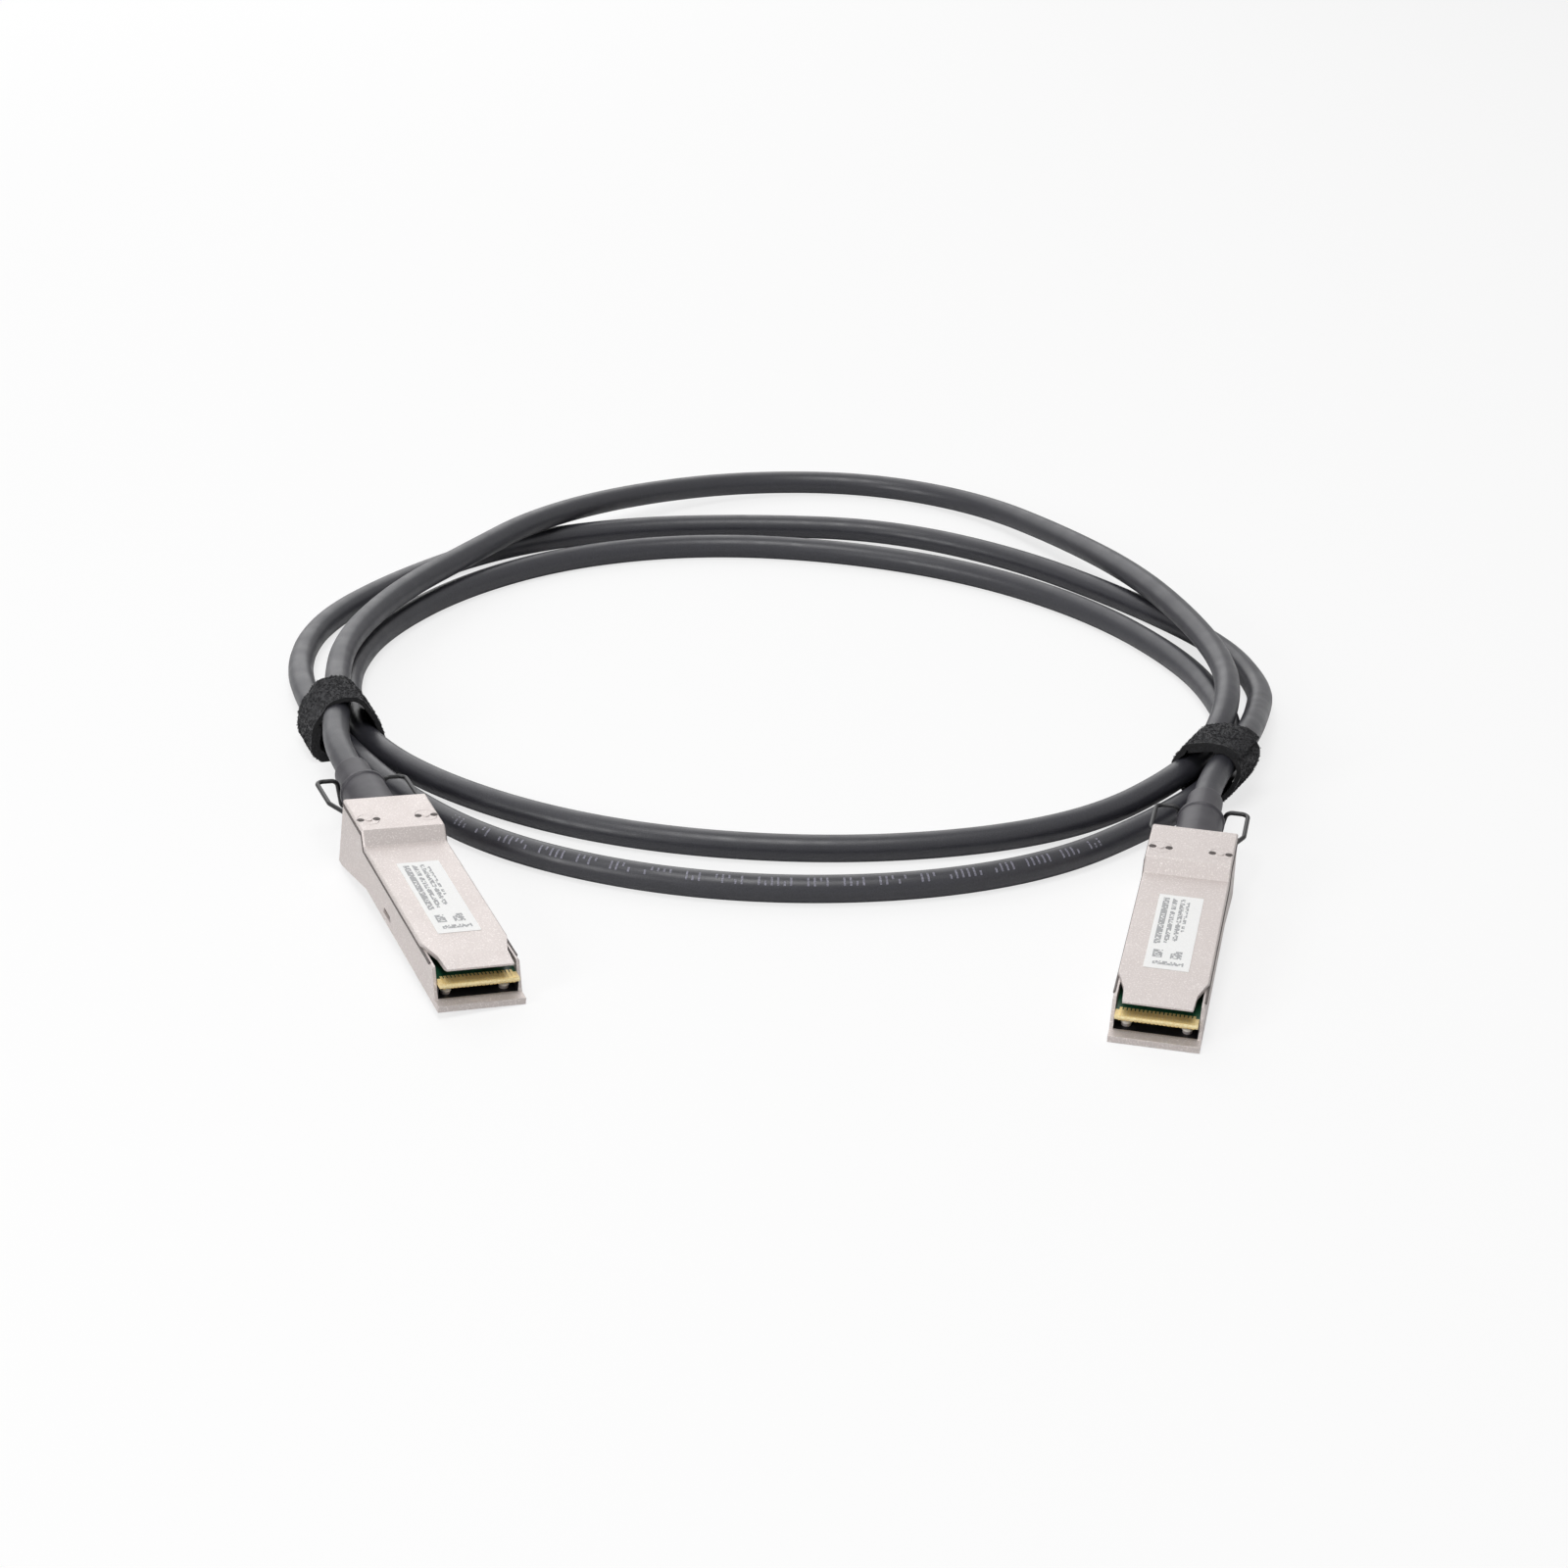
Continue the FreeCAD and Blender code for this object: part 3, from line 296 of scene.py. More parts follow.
def add_node(tree, kind, links=None, settings=None, stops=None, **inputs):
    """One shader node of a kind: what feeds it, its own settings, a ramp's stops, socket values.

    Stops are (place, sRGB hex). A socket is named in inputs with underscores for spaces.
    """
    node = tree.nodes.new("ShaderNode" + kind)
    for name, setting in (settings or {}).items():
        setattr(node, name, setting)
    for name, number in inputs.items():
        node.inputs[name.replace("_", " ")].default_value = number
    join(tree, node, links or {})
    if stops:
        elements = node.color_ramp.elements
        elements.remove(elements[-1])
        elements[0].position, elements[0].color = stops[0][0], linear(stops[0][1])
        for place, colour in stops[1:]:
            elements.new(place).color = linear(colour)
    return node


def empty_tree(owner):
    """The node tree of a material or world, emptied."""
    owner.use_nodes = True
    owner.node_tree.nodes.clear()
    return owner.node_tree


def new_material(name, **inputs):
    """Material, its tree, its shader with those values, and coordinates for its patterns."""
    material = bpy.data.materials.new(name)
    tree = empty_tree(material)
    shader = add_node(tree, "BsdfPrincipled", **inputs)
    add_node(tree, "OutputMaterial", {"Surface": shader.outputs["BSDF"]})
    place = add_node(tree, "TexCoord").outputs["Object"]
    return material, tree, shader, place


def new_object(name, data):
    """Object of that data in the scene."""
    piece = bpy.data.objects.new(name, data)
    bpy.context.scene.collection.objects.link(piece)
    return piece


def deselect():
    """Nothing selected, so that an operator acts only on what follows."""
    bpy.ops.object.select_all(action="DESELECT")


def take(piece):
    """Makes one object the only selected and active one."""
    deselect()
    piece.select_set(True)
    bpy.context.view_layer.objects.active = piece


def edit_all(piece):
    """Edit mode on one object, with its whole mesh selected."""
    take(piece)
    bpy.ops.object.mode_set(mode="EDIT")
    bpy.ops.mesh.select_all(action="SELECT")


def close_mesh():
    """Turns the faces of the mesh in edit mode outwards and leaves edit mode."""
    bpy.ops.mesh.select_all(action="SELECT")
    bpy.ops.mesh.normals_make_consistent(inside=False)
    bpy.ops.object.mode_set(mode="OBJECT")


def apply_place(piece):
    """Moves an object's place into its mesh."""
    take(piece)
    bpy.ops.object.transform_apply(location=True, rotation=True, scale=True)


def apply_modifiers(piece):
    """Applies all modifiers of one object."""
    take(piece)
    for modifier in list(piece.modifiers):
        bpy.ops.object.modifier_apply(modifier=modifier.name)


def thicken(piece, thickness, offset):
    """Wall modifier for a flat sheet: offset 0 is half to each side, and 1 is all outwards."""
    wall = piece.modifiers.new("wall", "SOLIDIFY")
    wall.thickness = thickness
    wall.offset = offset


def join_pieces(pieces):
    """Joins objects into the first of them and returns it."""
    take(pieces[0])
    for piece in pieces[1:]:
        piece.select_set(True)
    bpy.ops.object.join()
    return pieces[0]


def seat(piece, matrix, material):
    """Moves a piece to its place, as its mesh's own place, and gives it its material."""
    piece.matrix_world = matrix
    apply_place(piece)
    piece.data.materials.append(material)


def smooth_line(name, places, resolution, dimensions="2D"):
    """Curve object of one open NURBS spline with those places as its control points."""
    curve = bpy.data.curves.new(name, "CURVE")
    curve.dimensions = dimensions
    spline = curve.splines.new("NURBS")
    spline.points.add(len(places) - 1)
    for point, place in zip(spline.points, places):
        point.co = (*place, 1)
    spline.order_u = 3
    spline.use_endpoint_u = True
    spline.resolution_u = resolution
    return new_object(name, curve)


def flat_grid(name, size, cells, location=(0, 0, 0), rotation=(0, 0, 0)):
    """Flat sheet of cells at its place: size and cells are (along X, along Y)."""
    deselect()
    bpy.ops.mesh.primitive_grid_add(
        x_subdivisions=cells[0], y_subdivisions=cells[1], size=1.0,
        location=location, rotation=rotation,
    )
    sheet = bpy.context.object
    sheet.name = name
    sheet.scale = (*size, 1)
    apply_place(sheet)
    return sheet


def keep_faces(sheet, wanted):
    """Deletes the faces for whose middle wanted() is false."""
    take(sheet)
    bpy.ops.object.mode_set(mode="EDIT")
    mesh = bmesh.from_edit_mesh(sheet.data)
    for face in mesh.faces:
        face.select_set(not wanted(face.calc_center_median()))
    bmesh.update_edit_mesh(sheet.data)
    bpy.ops.mesh.delete(type="FACE")
    bpy.ops.object.mode_set(mode="OBJECT")


def mount(name):
    """Place and axis of one of the record's mounts."""
    found = [m for m in frame["record"]["mounts"] if m["name"] == name][0]
    return Vector(found["pos_m"]), Vector(found["axis"]).normalized()


def plug_matrix(side):
    """Matrix from a plug's own frame."""
    mouth, forward = mount(f"{side}_plug_mating")
    down = mount(f"{side}_underside_face")[1]
    across = (-forward).cross(-down).normalized()
    turn = Matrix((across, -forward, -down)).transposed()
    origin = mouth - turn @ Vector([c * MM for c in MATING_POINT])
    return Matrix.Translation(origin) @ turn.to_4x4()


# ---- materials


def patterned(name, size, stops, relief=None, kind="TexNoise", texture=None, **inputs):
    """Material whose tone follows one pattern of a real size in millimetres, and so does its bump.

    relief is the bump's strength and its height in millimetres, kind and texture are the
    pattern's node and socket values, and inputs are the shader's values.
    """
    material, tree, shader, place = new_material(name, **inputs)
    pattern = add_node(tree, kind, {"Vector": place}, Scale=1 / (size * MM), **(texture or {}))
    tone = add_node(tree, "ValToRGB", {"Fac": pattern.outputs[0]}, stops=stops)
    join(tree, shader, {"Base Color": tone.outputs["Color"]})
    if relief:
        bump = add_node(tree, "Bump", {"Height": pattern.outputs[0]},
                        Strength=relief[0], Distance=relief[1] * MM)
        join(tree, shader, {"Normal": bump.outputs["Normal"]})
    return material


def plated_zinc():
    """Nickel-plated zinc casting, tumbled satin: a pale, faintly warm silver with a fine grain that
    breaks up its soft reflections, and worn edges that catch the light."""
    material, tree, shader, place = new_material("plated_zinc_casting", Metallic=0.4)
    colours = bpy.context.scene.plug_settings
    # grain of 0.35 mm, a little coarser than the real tumbled finish so that it shows
    grain = add_node(tree, "TexNoise", {"Vector": place}, Scale=1 / (0.35 * MM),
                     Detail=3.0, Roughness=0.6)
    # handling marks about 6 mm across
    cloud = add_node(tree, "TexNoise", {"Vector": place}, Scale=1 / (6 * MM), Detail=2.0)
    tone = add_node(tree, "ValToRGB", {"Fac": grain.outputs["Fac"]},
                    stops=[(0.3, "d0c8c5"), (0.5, colours.shell), (0.72, "e8e2df")])
    rough = add_node(tree, "MapRange", {"Value": cloud.outputs["Fac"]},
                     From_Min=0.3, From_Max=0.7, To_Min=0.42, To_Max=0.52)
    edge = add_node(tree, "Bevel", settings={"samples": 6}, Radius=0.18 * MM)
    bump = add_node(tree, "Bump", {"Height": grain.outputs["Fac"],
                    "Normal": edge.outputs["Normal"]}, Strength=0.35, Distance=0.03 * MM)
    join(tree, shader, {"Base Color": tone.outputs["Color"],
                        "Roughness": rough.outputs["Result"], "Normal": bump.outputs["Normal"]})
    return material


def stamped_steel():
    """Stainless spring steel strip: cooler and smoother than the casting, with drawn lines."""
    material, tree, shader, place = new_material("stamped_stainless_steel", Metallic=1.0,
                                                 Roughness=0.3)
    # rolling lines 0.12 mm apart, stretched along the strip
    stretch = add_node(tree, "Mapping", {"Vector": place}, Scale=(8, 0.6, 8))
    lines = add_node(tree, "TexNoise", {"Vector": stretch.outputs["Vector"]},
                     Scale=1 / (1.0 * MM), Detail=2.0)
    tone = add_node(tree, "ValToRGB", {"Fac": lines.outputs["Fac"]},
                    stops=[(0.35, "b9b8b8"), (0.65, "d2d1d0")])
    bump = add_node(tree, "Bump", {"Height": lines.outputs["Fac"]},
                    Strength=0.2, Distance=0.01 * MM)
    join(tree, shader, {"Base Color": tone.outputs["Color"], "Normal": bump.outputs["Normal"]})
    return material


def spring_wire():
    """Music wire: dark drawn steel with a tight gloss."""
    # drawing marks 0.4 mm long
    return patterned("music_wire", 0.4, [(0.4, "7d7c7c"), (0.6, "98979a")],
                     Metallic=1.0, Roughness=0.32)


def coated_wire():
    """Spring steel wire in black polyester powder: near black with a soft satin gloss."""
    # orange peel of the powder, 0.3 mm
    return patterned("black_coated_wire", 0.3, [(0.35, "111113"), (0.7, "1c1c1f")],
                     relief=(0.3, 0.02), Roughness=0.38)


def moulded_boot():
    """Moulded PVC boot, spark-eroded mould: dark charcoal with a dull, slightly dusty sheen."""
    material, tree, shader, place = new_material("moulded_pvc_boot", Roughness=0.46, IOR=1.53)
    colours = bpy.context.scene.cable_settings
    # spark texture of the mould, 0.25 mm
    spark = add_node(tree, "TexNoise", {"Vector": place}, Scale=1 / (0.25 * MM),
                     Detail=3.0)
    # dusty patches about 4 mm across
    cloud = add_node(tree, "TexNoise", {"Vector": place}, Scale=1 / (4 * MM))
    tone = add_node(tree, "ValToRGB", {"Fac": cloud.outputs["Fac"]},
                    stops=[(0.3, "2f2d33"), (0.5, colours.boot), (0.75, "403e44")])
    edge = add_node(tree, "Bevel", settings={"samples": 6}, Radius=0.5 * MM)
    bump = add_node(tree, "Bump", {"Height": spark.outputs["Fac"],
                    "Normal": edge.outputs["Normal"]}, Strength=0.3, Distance=0.04 * MM)
    join(tree, shader, {"Base Color": tone.outputs["Color"], "Normal": bump.outputs["Normal"]})
    return material


def cable_jacket():
    """Extruded PVC jacket: charcoal with a cool cast, fine die lines and a waxy broad highlight."""
    material, tree, shader, place = new_material("extruded_pvc_jacket", IOR=1.53)
    colours = bpy.context.scene.cable_settings
    # the twisted pairs inside show as soft lumps about 5 mm long
    lump = add_node(tree, "TexNoise", {"Vector": place}, Scale=1 / (5 * MM), Detail=1.0)
    # extrusion grain of 0.3 mm
    grain = add_node(tree, "TexNoise", {"Vector": place}, Scale=1 / (0.3 * MM),
                     Detail=3.0, Roughness=0.65)
    tone = add_node(tree, "ValToRGB", {"Fac": grain.outputs["Fac"]},
                    stops=[(0.3, "28282d"), (0.5, colours.jacket), (0.7, "39393f")])
    soft = add_node(tree, "Bump", {"Height": lump.outputs["Fac"]},
                    Strength=0.35, Distance=0.25 * MM)
    bump = add_node(tree, "Bump", {"Height": grain.outputs["Fac"],
                    "Normal": soft.outputs["Normal"]}, Strength=0.35, Distance=0.04 * MM)
    rough = add_node(tree, "MapRange", {"Value": lump.outputs["Fac"]},
                     From_Min=0.3, From_Max=0.7, To_Min=0.34, To_Max=0.44)
    join(tree, shader, {"Base Color": tone.outputs["Color"],
                        "Roughness": rough.outputs["Result"], "Normal": bump.outputs["Normal"]})
    return material


def loop_nylon():
    """Brushed nylon loop fabric: soft black that turns grey where its pile meets the light."""
    colour = bpy.context.scene.strap_settings.colour
    # tufts of pile 0.8 mm across
    return patterned("brushed_nylon_loop", 0.8, [(0.32, "101013"), (0.5, colour), (0.72, "2a2a2f")],
                     relief=(0.7, 0.2), texture={"Detail": 4.0, "Roughness": 0.7},
                     Roughness=0.9, Sheen_Weight=0.15, Sheen_Roughness=0.5)


def hook_tape():
    """Moulded nylon hook tape, the strap's inner face and cut edges: flat black and prickly."""
    # rows of hooks 0.7 mm apart
    return patterned("moulded_nylon_hooks", 0.7, [(0.1, "1a1a1d"), (0.6, "0c0c0e")],
                     relief=(0.6, 0.15), kind="TexVoronoi", Roughness=0.8)


def solder_mask(side):
    """Green solder mask over the card's weave; it stops short of the contacts on bare laminate."""
    material, tree, shader, place = new_material(f"green_solder_mask_{side}", Roughness=0.3)
    colours = bpy.context.scene.plug_settings
    # weave of the laminate under the mask, 0.5 mm apart
    weave = add_node(tree, "TexNoise", {"Vector": place}, Scale=1 / (0.5 * MM))
    green = add_node(tree, "ValToRGB", {"Fac": weave.outputs["Fac"]},
                     stops=[(0.3, "10382a"), (0.7, colours.card)])
    bare = add_node(tree, "ValToRGB", {"Fac": weave.outputs["Fac"]},
                    stops=[(0.3, "e6c987"), (0.7, "f5dfa6")])
    # depth in the plug's own frame, from which the mask's front edge is measured
    inverse = plug_matrix(side).inverted()
    own = add_node(tree, "Mapping", {"Vector": place},
                   Location=inverse.translation, Rotation=inverse.to_euler())
    depth = add_node(tree, "SeparateXYZ", {"Vector": own.outputs["Vector"]})
    past = add_node(tree, "Math", {0: depth.outputs["Y"]}, {"operation": "LESS_THAN"})
    past.inputs[1].default_value = -MASK_EDGE * MM
    tone = add_node(tree, "Mix", {"Factor": past.outputs["Value"],
                    "A": green.outputs["Color"], "B": bare.outputs["Color"]},
                    {"data_type": "RGBA"})
    join(tree, shader, {"Base Color": tone.outputs["Result"]})
    return material


def hard_gold():
    """Hard gold over nickel on the card's contacts: pale yellow, bright and smooth."""
    gold = bpy.context.scene.plug_settings.gold
    # wiping marks of earlier matings, 0.2 mm
    return patterned("hard_gold_plating", 0.2, [(0.35, "ecca7c"), (0.65, gold)],
                     Metallic=0.5, Roughness=0.4)


def epoxy_package():
    """Moulded epoxy chip package: black-grey, matt and finely stippled."""
    # stipple of the mould, 0.15 mm
    return patterned("moulded_epoxy_package", 0.15, [(0.4, "1b1b1c"), (0.6, "2a2a2b")],
                     Roughness=0.6)


def crimped_brass():
    """Tin-plated brass crimp sleeve: dull grey-gold, scuffed by the crimping die."""
    # scuffs about 1.2 mm across
    return patterned("tinned_brass_sleeve", 1.2, [(0.35, "a89f8c"), (0.65, "c6bfae")],
                     texture={"Detail": 3.0}, Metallic=1.0, Roughness=0.42)


def foil_wrap():
    """Aluminium foil wound round each pair: bright and finely creased."""
    # creases about 0.7 mm apart
    return patterned("aluminium_foil_wrap", 0.7, [(0.1, "b4b5b8"), (0.6, "d8d9db")],
                     relief=(0.4, 0.05), kind="TexVoronoi", Metallic=1.0, Roughness=0.3)


def label_stock():
    """Matt polyester label stock: clean white with a paper-like tooth."""
    # tooth of 0.3 mm, coarser than the real one so that it shows
    return patterned("white_polyester_label", 0.3, [(0.3, "f3f3f2"), (0.7, "fbfbfa")],
                     relief=(0.2, 0.01), Roughness=0.55)


def painted_seam_shade():
    """Painted shade in the parting seam: a dark grey cord, matt, with light specks."""
    # light specks 0.4 mm apart
    return patterned("painted_seam_shade_cord", 0.4, [(0.35, "5c5654"), (0.7, "7a7371")],
                     Roughness=0.75)


def painted_slot_shade():
    """Painted shade in the screw slots: brown-black blobs with a dull, uneven skin."""
    # ripples of the blobs' skin, 0.5 mm apart
    return patterned("dark_painted_slot_shade", 0.5, [(0.35, "3a3331"), (0.7, "564d4a")],
                     relief=(0.4, 0.05), Roughness=0.6)


def painted_highlight_white():
    """Painted highlight: a milky white cap for a post's lit top, with a waxy gloss."""
    # clouds in the white, 1 mm apart
    return patterned("painted_highlight_white", 1, [(0.3, "f2efe9"), (0.7, "fbf9f5")],
                     Roughness=0.35, IOR=1.53)


def painted_shade_film():
    """Painted shade in the tray's mouth: a deep black sheet with a faint satin sheen."""
    # shallow waves of the sheet, 2 mm apart
    return patterned("black_painted_shade_sheet", 2, [(0.35, "0c0c10"), (0.7, "15151a")],
                     relief=(0.3, 0.05), Roughness=0.55)


def bare_epoxy():
    """Routed edge of the glass-epoxy card: straw-coloured resin with pale glass ends."""
    # cut glass bundles 0.4 mm apart
    return patterned("routed_glass_epoxy_edge", 0.4, [(0.35, "eed596"), (0.65, "fbecbb")],
                     texture={"Detail": 3.0}, Roughness=0.5)


def thermal_ink():
    """Thermal-transfer ink: soft grey rows with a slightly broken tone."""
    ink = bpy.context.scene.plug_settings.ink
    # breaks in the ink 0.25 mm apart
    return patterned("grey_transfer_ink", 0.25, [(0.35, ink), (0.7, "bcbcc0")], Roughness=0.6)


def jacket_ink():
    """Ink-jet marks on the jacket: faint lavender grey, as of thin ink on a dark ground."""
    # droplets of the ink jet, 0.35 mm
    return patterned("pale_jacket_ink", 0.35, [(0.35, "5f5e69"), (0.65, "8f8e9c")],
                     Roughness=0.5)


# ---- pieces


class CABLE_OT_lay_cable(Operator):
    """Lays the jacketed cable along its route"""

    bl_idname = "cable.lay_cable"
    bl_label = "Lay the cable"

    def execute(self, context):
        route = [[c * MM for c in place] for place in CABLE_ROUTE]
        cable = smooth_line("cable", route, 12, "3D")
        curve = cable.data
        curve.bevel_depth = context.scene.cable_settings.diameter / 2
        curve.bevel_resolution = 8
        curve.use_fill_caps = True
        curve.materials.append(cable_jacket())
        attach(cable, ROOT)
        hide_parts("cable_jacket")
        return {"FINISHED"}


def bowed(start, end, bulge):
    """Middle of a free run of strap, pushed outwards by its stiffness."""
    run = end - start
    return (start + end) / 2 + Vector((run.y, -run.x)) * bulge


def strap_line(strap, settings, strand):
    """Points (across, up) of a strap's middle line: once round the strands, then the lapped tail.

    Each corner of the outline is a strand's centre, which the strap goes round in an arc.
    """
    reach = strand / 2 + settings.slack + settings.thickness / 2
    corners = [Vector(corner) * MM for corner in strap["corners"]]
    loop = []
    for index, corner in enumerate(corners):
        before = (corner - corners[index - 1]).normalized()
        after = (corners[(index + 1) % len(corners)] - corner).normalized()
        sweep = math.atan2(before.x * after.y - before.y * after.x, before.dot(after))
        outward = Vector((before.y, -before.x)) * reach
        if loop:
            loop.append(bowed(loop[-1], corner + outward, settings.bulge))
        parts = max(1, round(sweep / math.radians(CLOTH["arc_step"])))
        for part in range(parts + 1):
            loop.append(corner + Matrix.Rotation(sweep * part / parts, 2) @ outward)
    loop.append(bowed(loop[-1], loop[0], settings.bulge))
    loop = loop[:: strap["turn"]]
    first = max(range(len(loop)), key=lambda index: loop[index].dot(Vector(strap["lap"])))
    loop = loop[first:] + loop[:first]
    middle = sum(loop, Vector((0, 0))) / len(loop)
    tail = []
    run = 0.0
    for here, following in zip(loop, loop[1:]):
        tail.append(here + (here - middle).normalized() * settings.thickness)
        run += (following - here).length
        if run > strap["overlap"] * MM:
            break
    return loop + tail


def pile_loops(band, settings, seed):
    """Nylon loops that stand all over a band's outer face, as one mesh of small arches.

    An arch leans by up to half its own direction, and its height and half its span vary about
    the height of the pile.
    """
    chance = random.Random(seed)
    faces = [face for face in band.data.polygons if face.material_index == 0]
    weights = [face.area for face in faces]
    rings, sides = 6, 3
    places, quads = [], []
    for face in chance.choices(faces, weights, k=settings.loops):
        corners = [band.data.vertices[v].co for v in face.vertices]
        slide = (chance.random(), chance.random())
        foot = corners[0].lerp(corners[1], slide[0]).lerp(corners[3].lerp(corners[2], slide[0]),
                                                         slide[1])
        up = face.normal
        lean = Vector([chance.uniform(-1, 1) for _ in range(3)])
        along = up.cross(lean).normalized()
        up = (up + 0.5 * lean).normalized()
        height = settings.pile * chance.uniform(0.5, 1.1)
        span = settings.pile * chance.uniform(0.35, 0.7)
        aside = up.cross(along).normalized()
        first = len(places)
        for ring in range(rings):
            angle = math.pi * ring / (rings - 1)
            middle = foot - up * CLOTH["root"] * MM - along * span * math.cos(angle)
            middle = middle + up * height * math.sin(angle)
            outward = (up * math.sin(angle) - along * math.cos(angle)).normalized()
            for side in range(sides):
                turn = math.tau * side / sides
                thread = outward * math.cos(turn) + aside * math.sin(turn)
                places.append(middle + thread * settings.thread / 2)
        for ring in range(rings - 1):
            for side in range(sides):
                following = (side + 1) % sides
                low = first + ring * sides
                quads.append((low + side, low + following, low + sides + following,
                              low + sides + side))
    mesh = bpy.data.meshes.new("pile")
    mesh.from_pydata(places, [], quads)
    return new_object("pile", mesh)


class CABLE_OT_wrap_straps(Operator):
    """Wraps a hook-and-loop strap round the strands on each side"""

    bl_idname = "cable.wrap_straps"
    bl_label = "Wrap the straps"

    def execute(self, context):
        settings = context.scene.strap_settings
        strand = context.scene.cable_settings.diameter
        nylon = loop_nylon()
        hooks = hook_tape()
        cell = CLOTH["cell"] * MM
        for side in SIDES:
            strap = STRAPS[side]
            line = strap_line(strap, settings, strand)
            wrap = smooth_line("wrap", [(across, up, 0) for across, up in line], 6)
            length = wrap.data.splines[0].calc_length()
            width = strap["width"] * MM
            band = flat_grid(
                f"{side}_hook_and_loop_strap", (length, width),
                (round(length / cell), round(width / cell)),
                location=(length / 2, 0, 0), rotation=(math.pi / 2, 0, 0),
            )
            band.modifiers.new("bend", "CURVE").object = wrap
            thicken(band, settings.thickness, 0)
            band.data.materials.append(nylon)
            band.data.materials.append(hooks)
            apply_modifiers(band)
            middle = sum((v.co for v in band.data.vertices), Vector()) / len(band.data.vertices)
            for face in band.data.polygons:
                outward = (face.center - middle).to_2d().to_3d().normalized()
                face.material_index = 0 if face.normal.dot(outward) > FACING else 1
            grain = bpy.data.textures.new("tufts", "CLOUDS")
            grain.noise_scale = CLOTH["tuft"] * MM
            relief = band.modifiers.new("relief", "DISPLACE")
            relief.texture = grain
            relief.strength = CLOTH["relief"] * MM
            apply_modifiers(band)
            pile = pile_loops(band, settings, strap["seed"])
            pile.data.materials.append(nylon)
            join_pieces([band, pile])
            bpy.data.objects.remove(wrap)

            foot = strand / 2 + settings.slack + settings.thickness
            stand = Matrix.Translation(Vector((*strap["middle"], 0)) * MM + Vector((0, 0, foot)))
            turn = Matrix.Rotation(math.radians(strap["heading"]), 4, "Z")
            upright = Matrix.Rotation(math.pi / 2, 4, "X")
            band.matrix_world = stand @ turn @ upright
            apply_place(band)
            for vertex in band.data.vertices:
                vertex.co.z = max(vertex.co.z, 0.0)
            bpy.ops.object.shade_smooth_by_angle(angle=math.radians(50))
            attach(band, ROOT)
            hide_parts(f"{side}_strap")
        return {"FINISHED"}


class CABLE_OT_mark_jacket(Operator):
    """Prints groups of plain strokes along the front strand of the cable"""

    bl_idname = "cable.mark_jacket"
    bl_label = "Mark the jacket"

    def execute(self, context):
        strand = context.scene.cable_settings.diameter
        first, last = MARKS["points"]
        route = [(place[0] * MM, place[1] * MM, 0) for place in CABLE_ROUTE[first:last]]
        line = smooth_line("print_line", route, 24)
        cell, rows, start = MARKS["cell"] * MM, MARKS["rows"], MARKS["start"] * MM
        columns = round(MARKS["length"] / MARKS["cell"])
        marks = flat_grid(
            "jacket_marks", (columns * cell, rows * cell), (columns, rows),
            location=(start + columns * cell / 2, rows * cell / 2, 0),
        )
        whole, upper, lower = (0, rows), (rows / 2, rows), (0, rows / 2)
        strokes = {}
        chance = random.Random(MARKS["seed"])
        column = 0
        while column < columns:
            for count in MARKS["groups"]:
                for stroke in range(count):
                    strokes[column + stroke * MARKS["step"]] = chance.choice(
                        [whole, whole, lower, upper])
                column += count * MARKS["step"] + MARKS["gap"]

        def in_stroke(place):
            low, high = strokes.get(int(place.x / cell - start / cell), (0, 0))
            return low * cell < place.y < high * cell

        keep_faces(marks, in_stroke)
        near, far = [math.radians(angle) for angle in MARKS["angles"]]
        reach = strand / 2 + 2 * INK * MM
        for vertex in marks.data.vertices:
            angle = near + (far - near) * vertex.co.y / (rows * cell)
            vertex.co.y = reach * math.sin(angle)
            vertex.co.z = strand / 2 + reach * math.cos(angle)
        thicken(marks, INK * MM, 1)
        marks.modifiers.new("bend", "CURVE").object = line
        apply_modifiers(marks)
        bpy.data.objects.remove(line)
        marks.data.materials.append(jacket_ink())
        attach(marks, ROOT)
        return {"FINISHED"}


class CABLE_OT_declare_cord(Operator):
    bl_idname = "cable.declare_cord"
    bl_label = "Declare the cord"

    # This only gathers the two straps and the jacket marks in a list; nothing further is done with
    # them.
    def execute(self, context):
        worn = [bpy.data.objects[f"{side}_hook_and_loop_strap"] for side in SIDES]
        worn.append(bpy.data.objects["jacket_marks"])
        return {"FINISHED"}


class CABLE_OT_seal_housings(Operator):
    """Lays a dark cord of painted shade in the parting seam on both sides of each housing"""

    bl_idname = "cable.seal_housings"
    bl_label = "Seal the housings"

    def execute(self, context):
        # the cord's dark grey is painted shade of the seam's groove
        seam_shade_material = painted_seam_shade()
        depth, height = SEAM[0]
        for side in SIDES:
            cords = []
            for hand in (-1, 1):
                deselect()
                bpy.ops.mesh.primitive_circle_add(
                    vertices=10, radius=context.scene.plug_settings.seam_shade_thickness / 2, fill_type="NGON",
                    location=(hand * SEAM_ACROSS * MM, -depth * MM, height * MM),
                    rotation=(math.pi / 2, 0, 0),
                )
                cord = context.object
                apply_place(cord)
                edit_all(cord)
                for here, following in zip(SEAM, SEAM[1:]):
                    step = (0, -(following[0] - here[0]) * MM, (following[1] - here[1]) * MM)
                    bpy.ops.mesh.extrude_region_move(TRANSFORM_OT_translate={"value": step})
                close_mesh()
                cords.append(cord)
            cord = join_pieces(cords)
            cord.name = f"{side}_seam_shade_cord"
            seat(cord, plug_matrix(side), seam_shade_material)
            bpy.ops.object.shade_smooth_by_angle(angle=math.radians(40))
            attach(cord, ROOT)
        return {"FINISHED"}


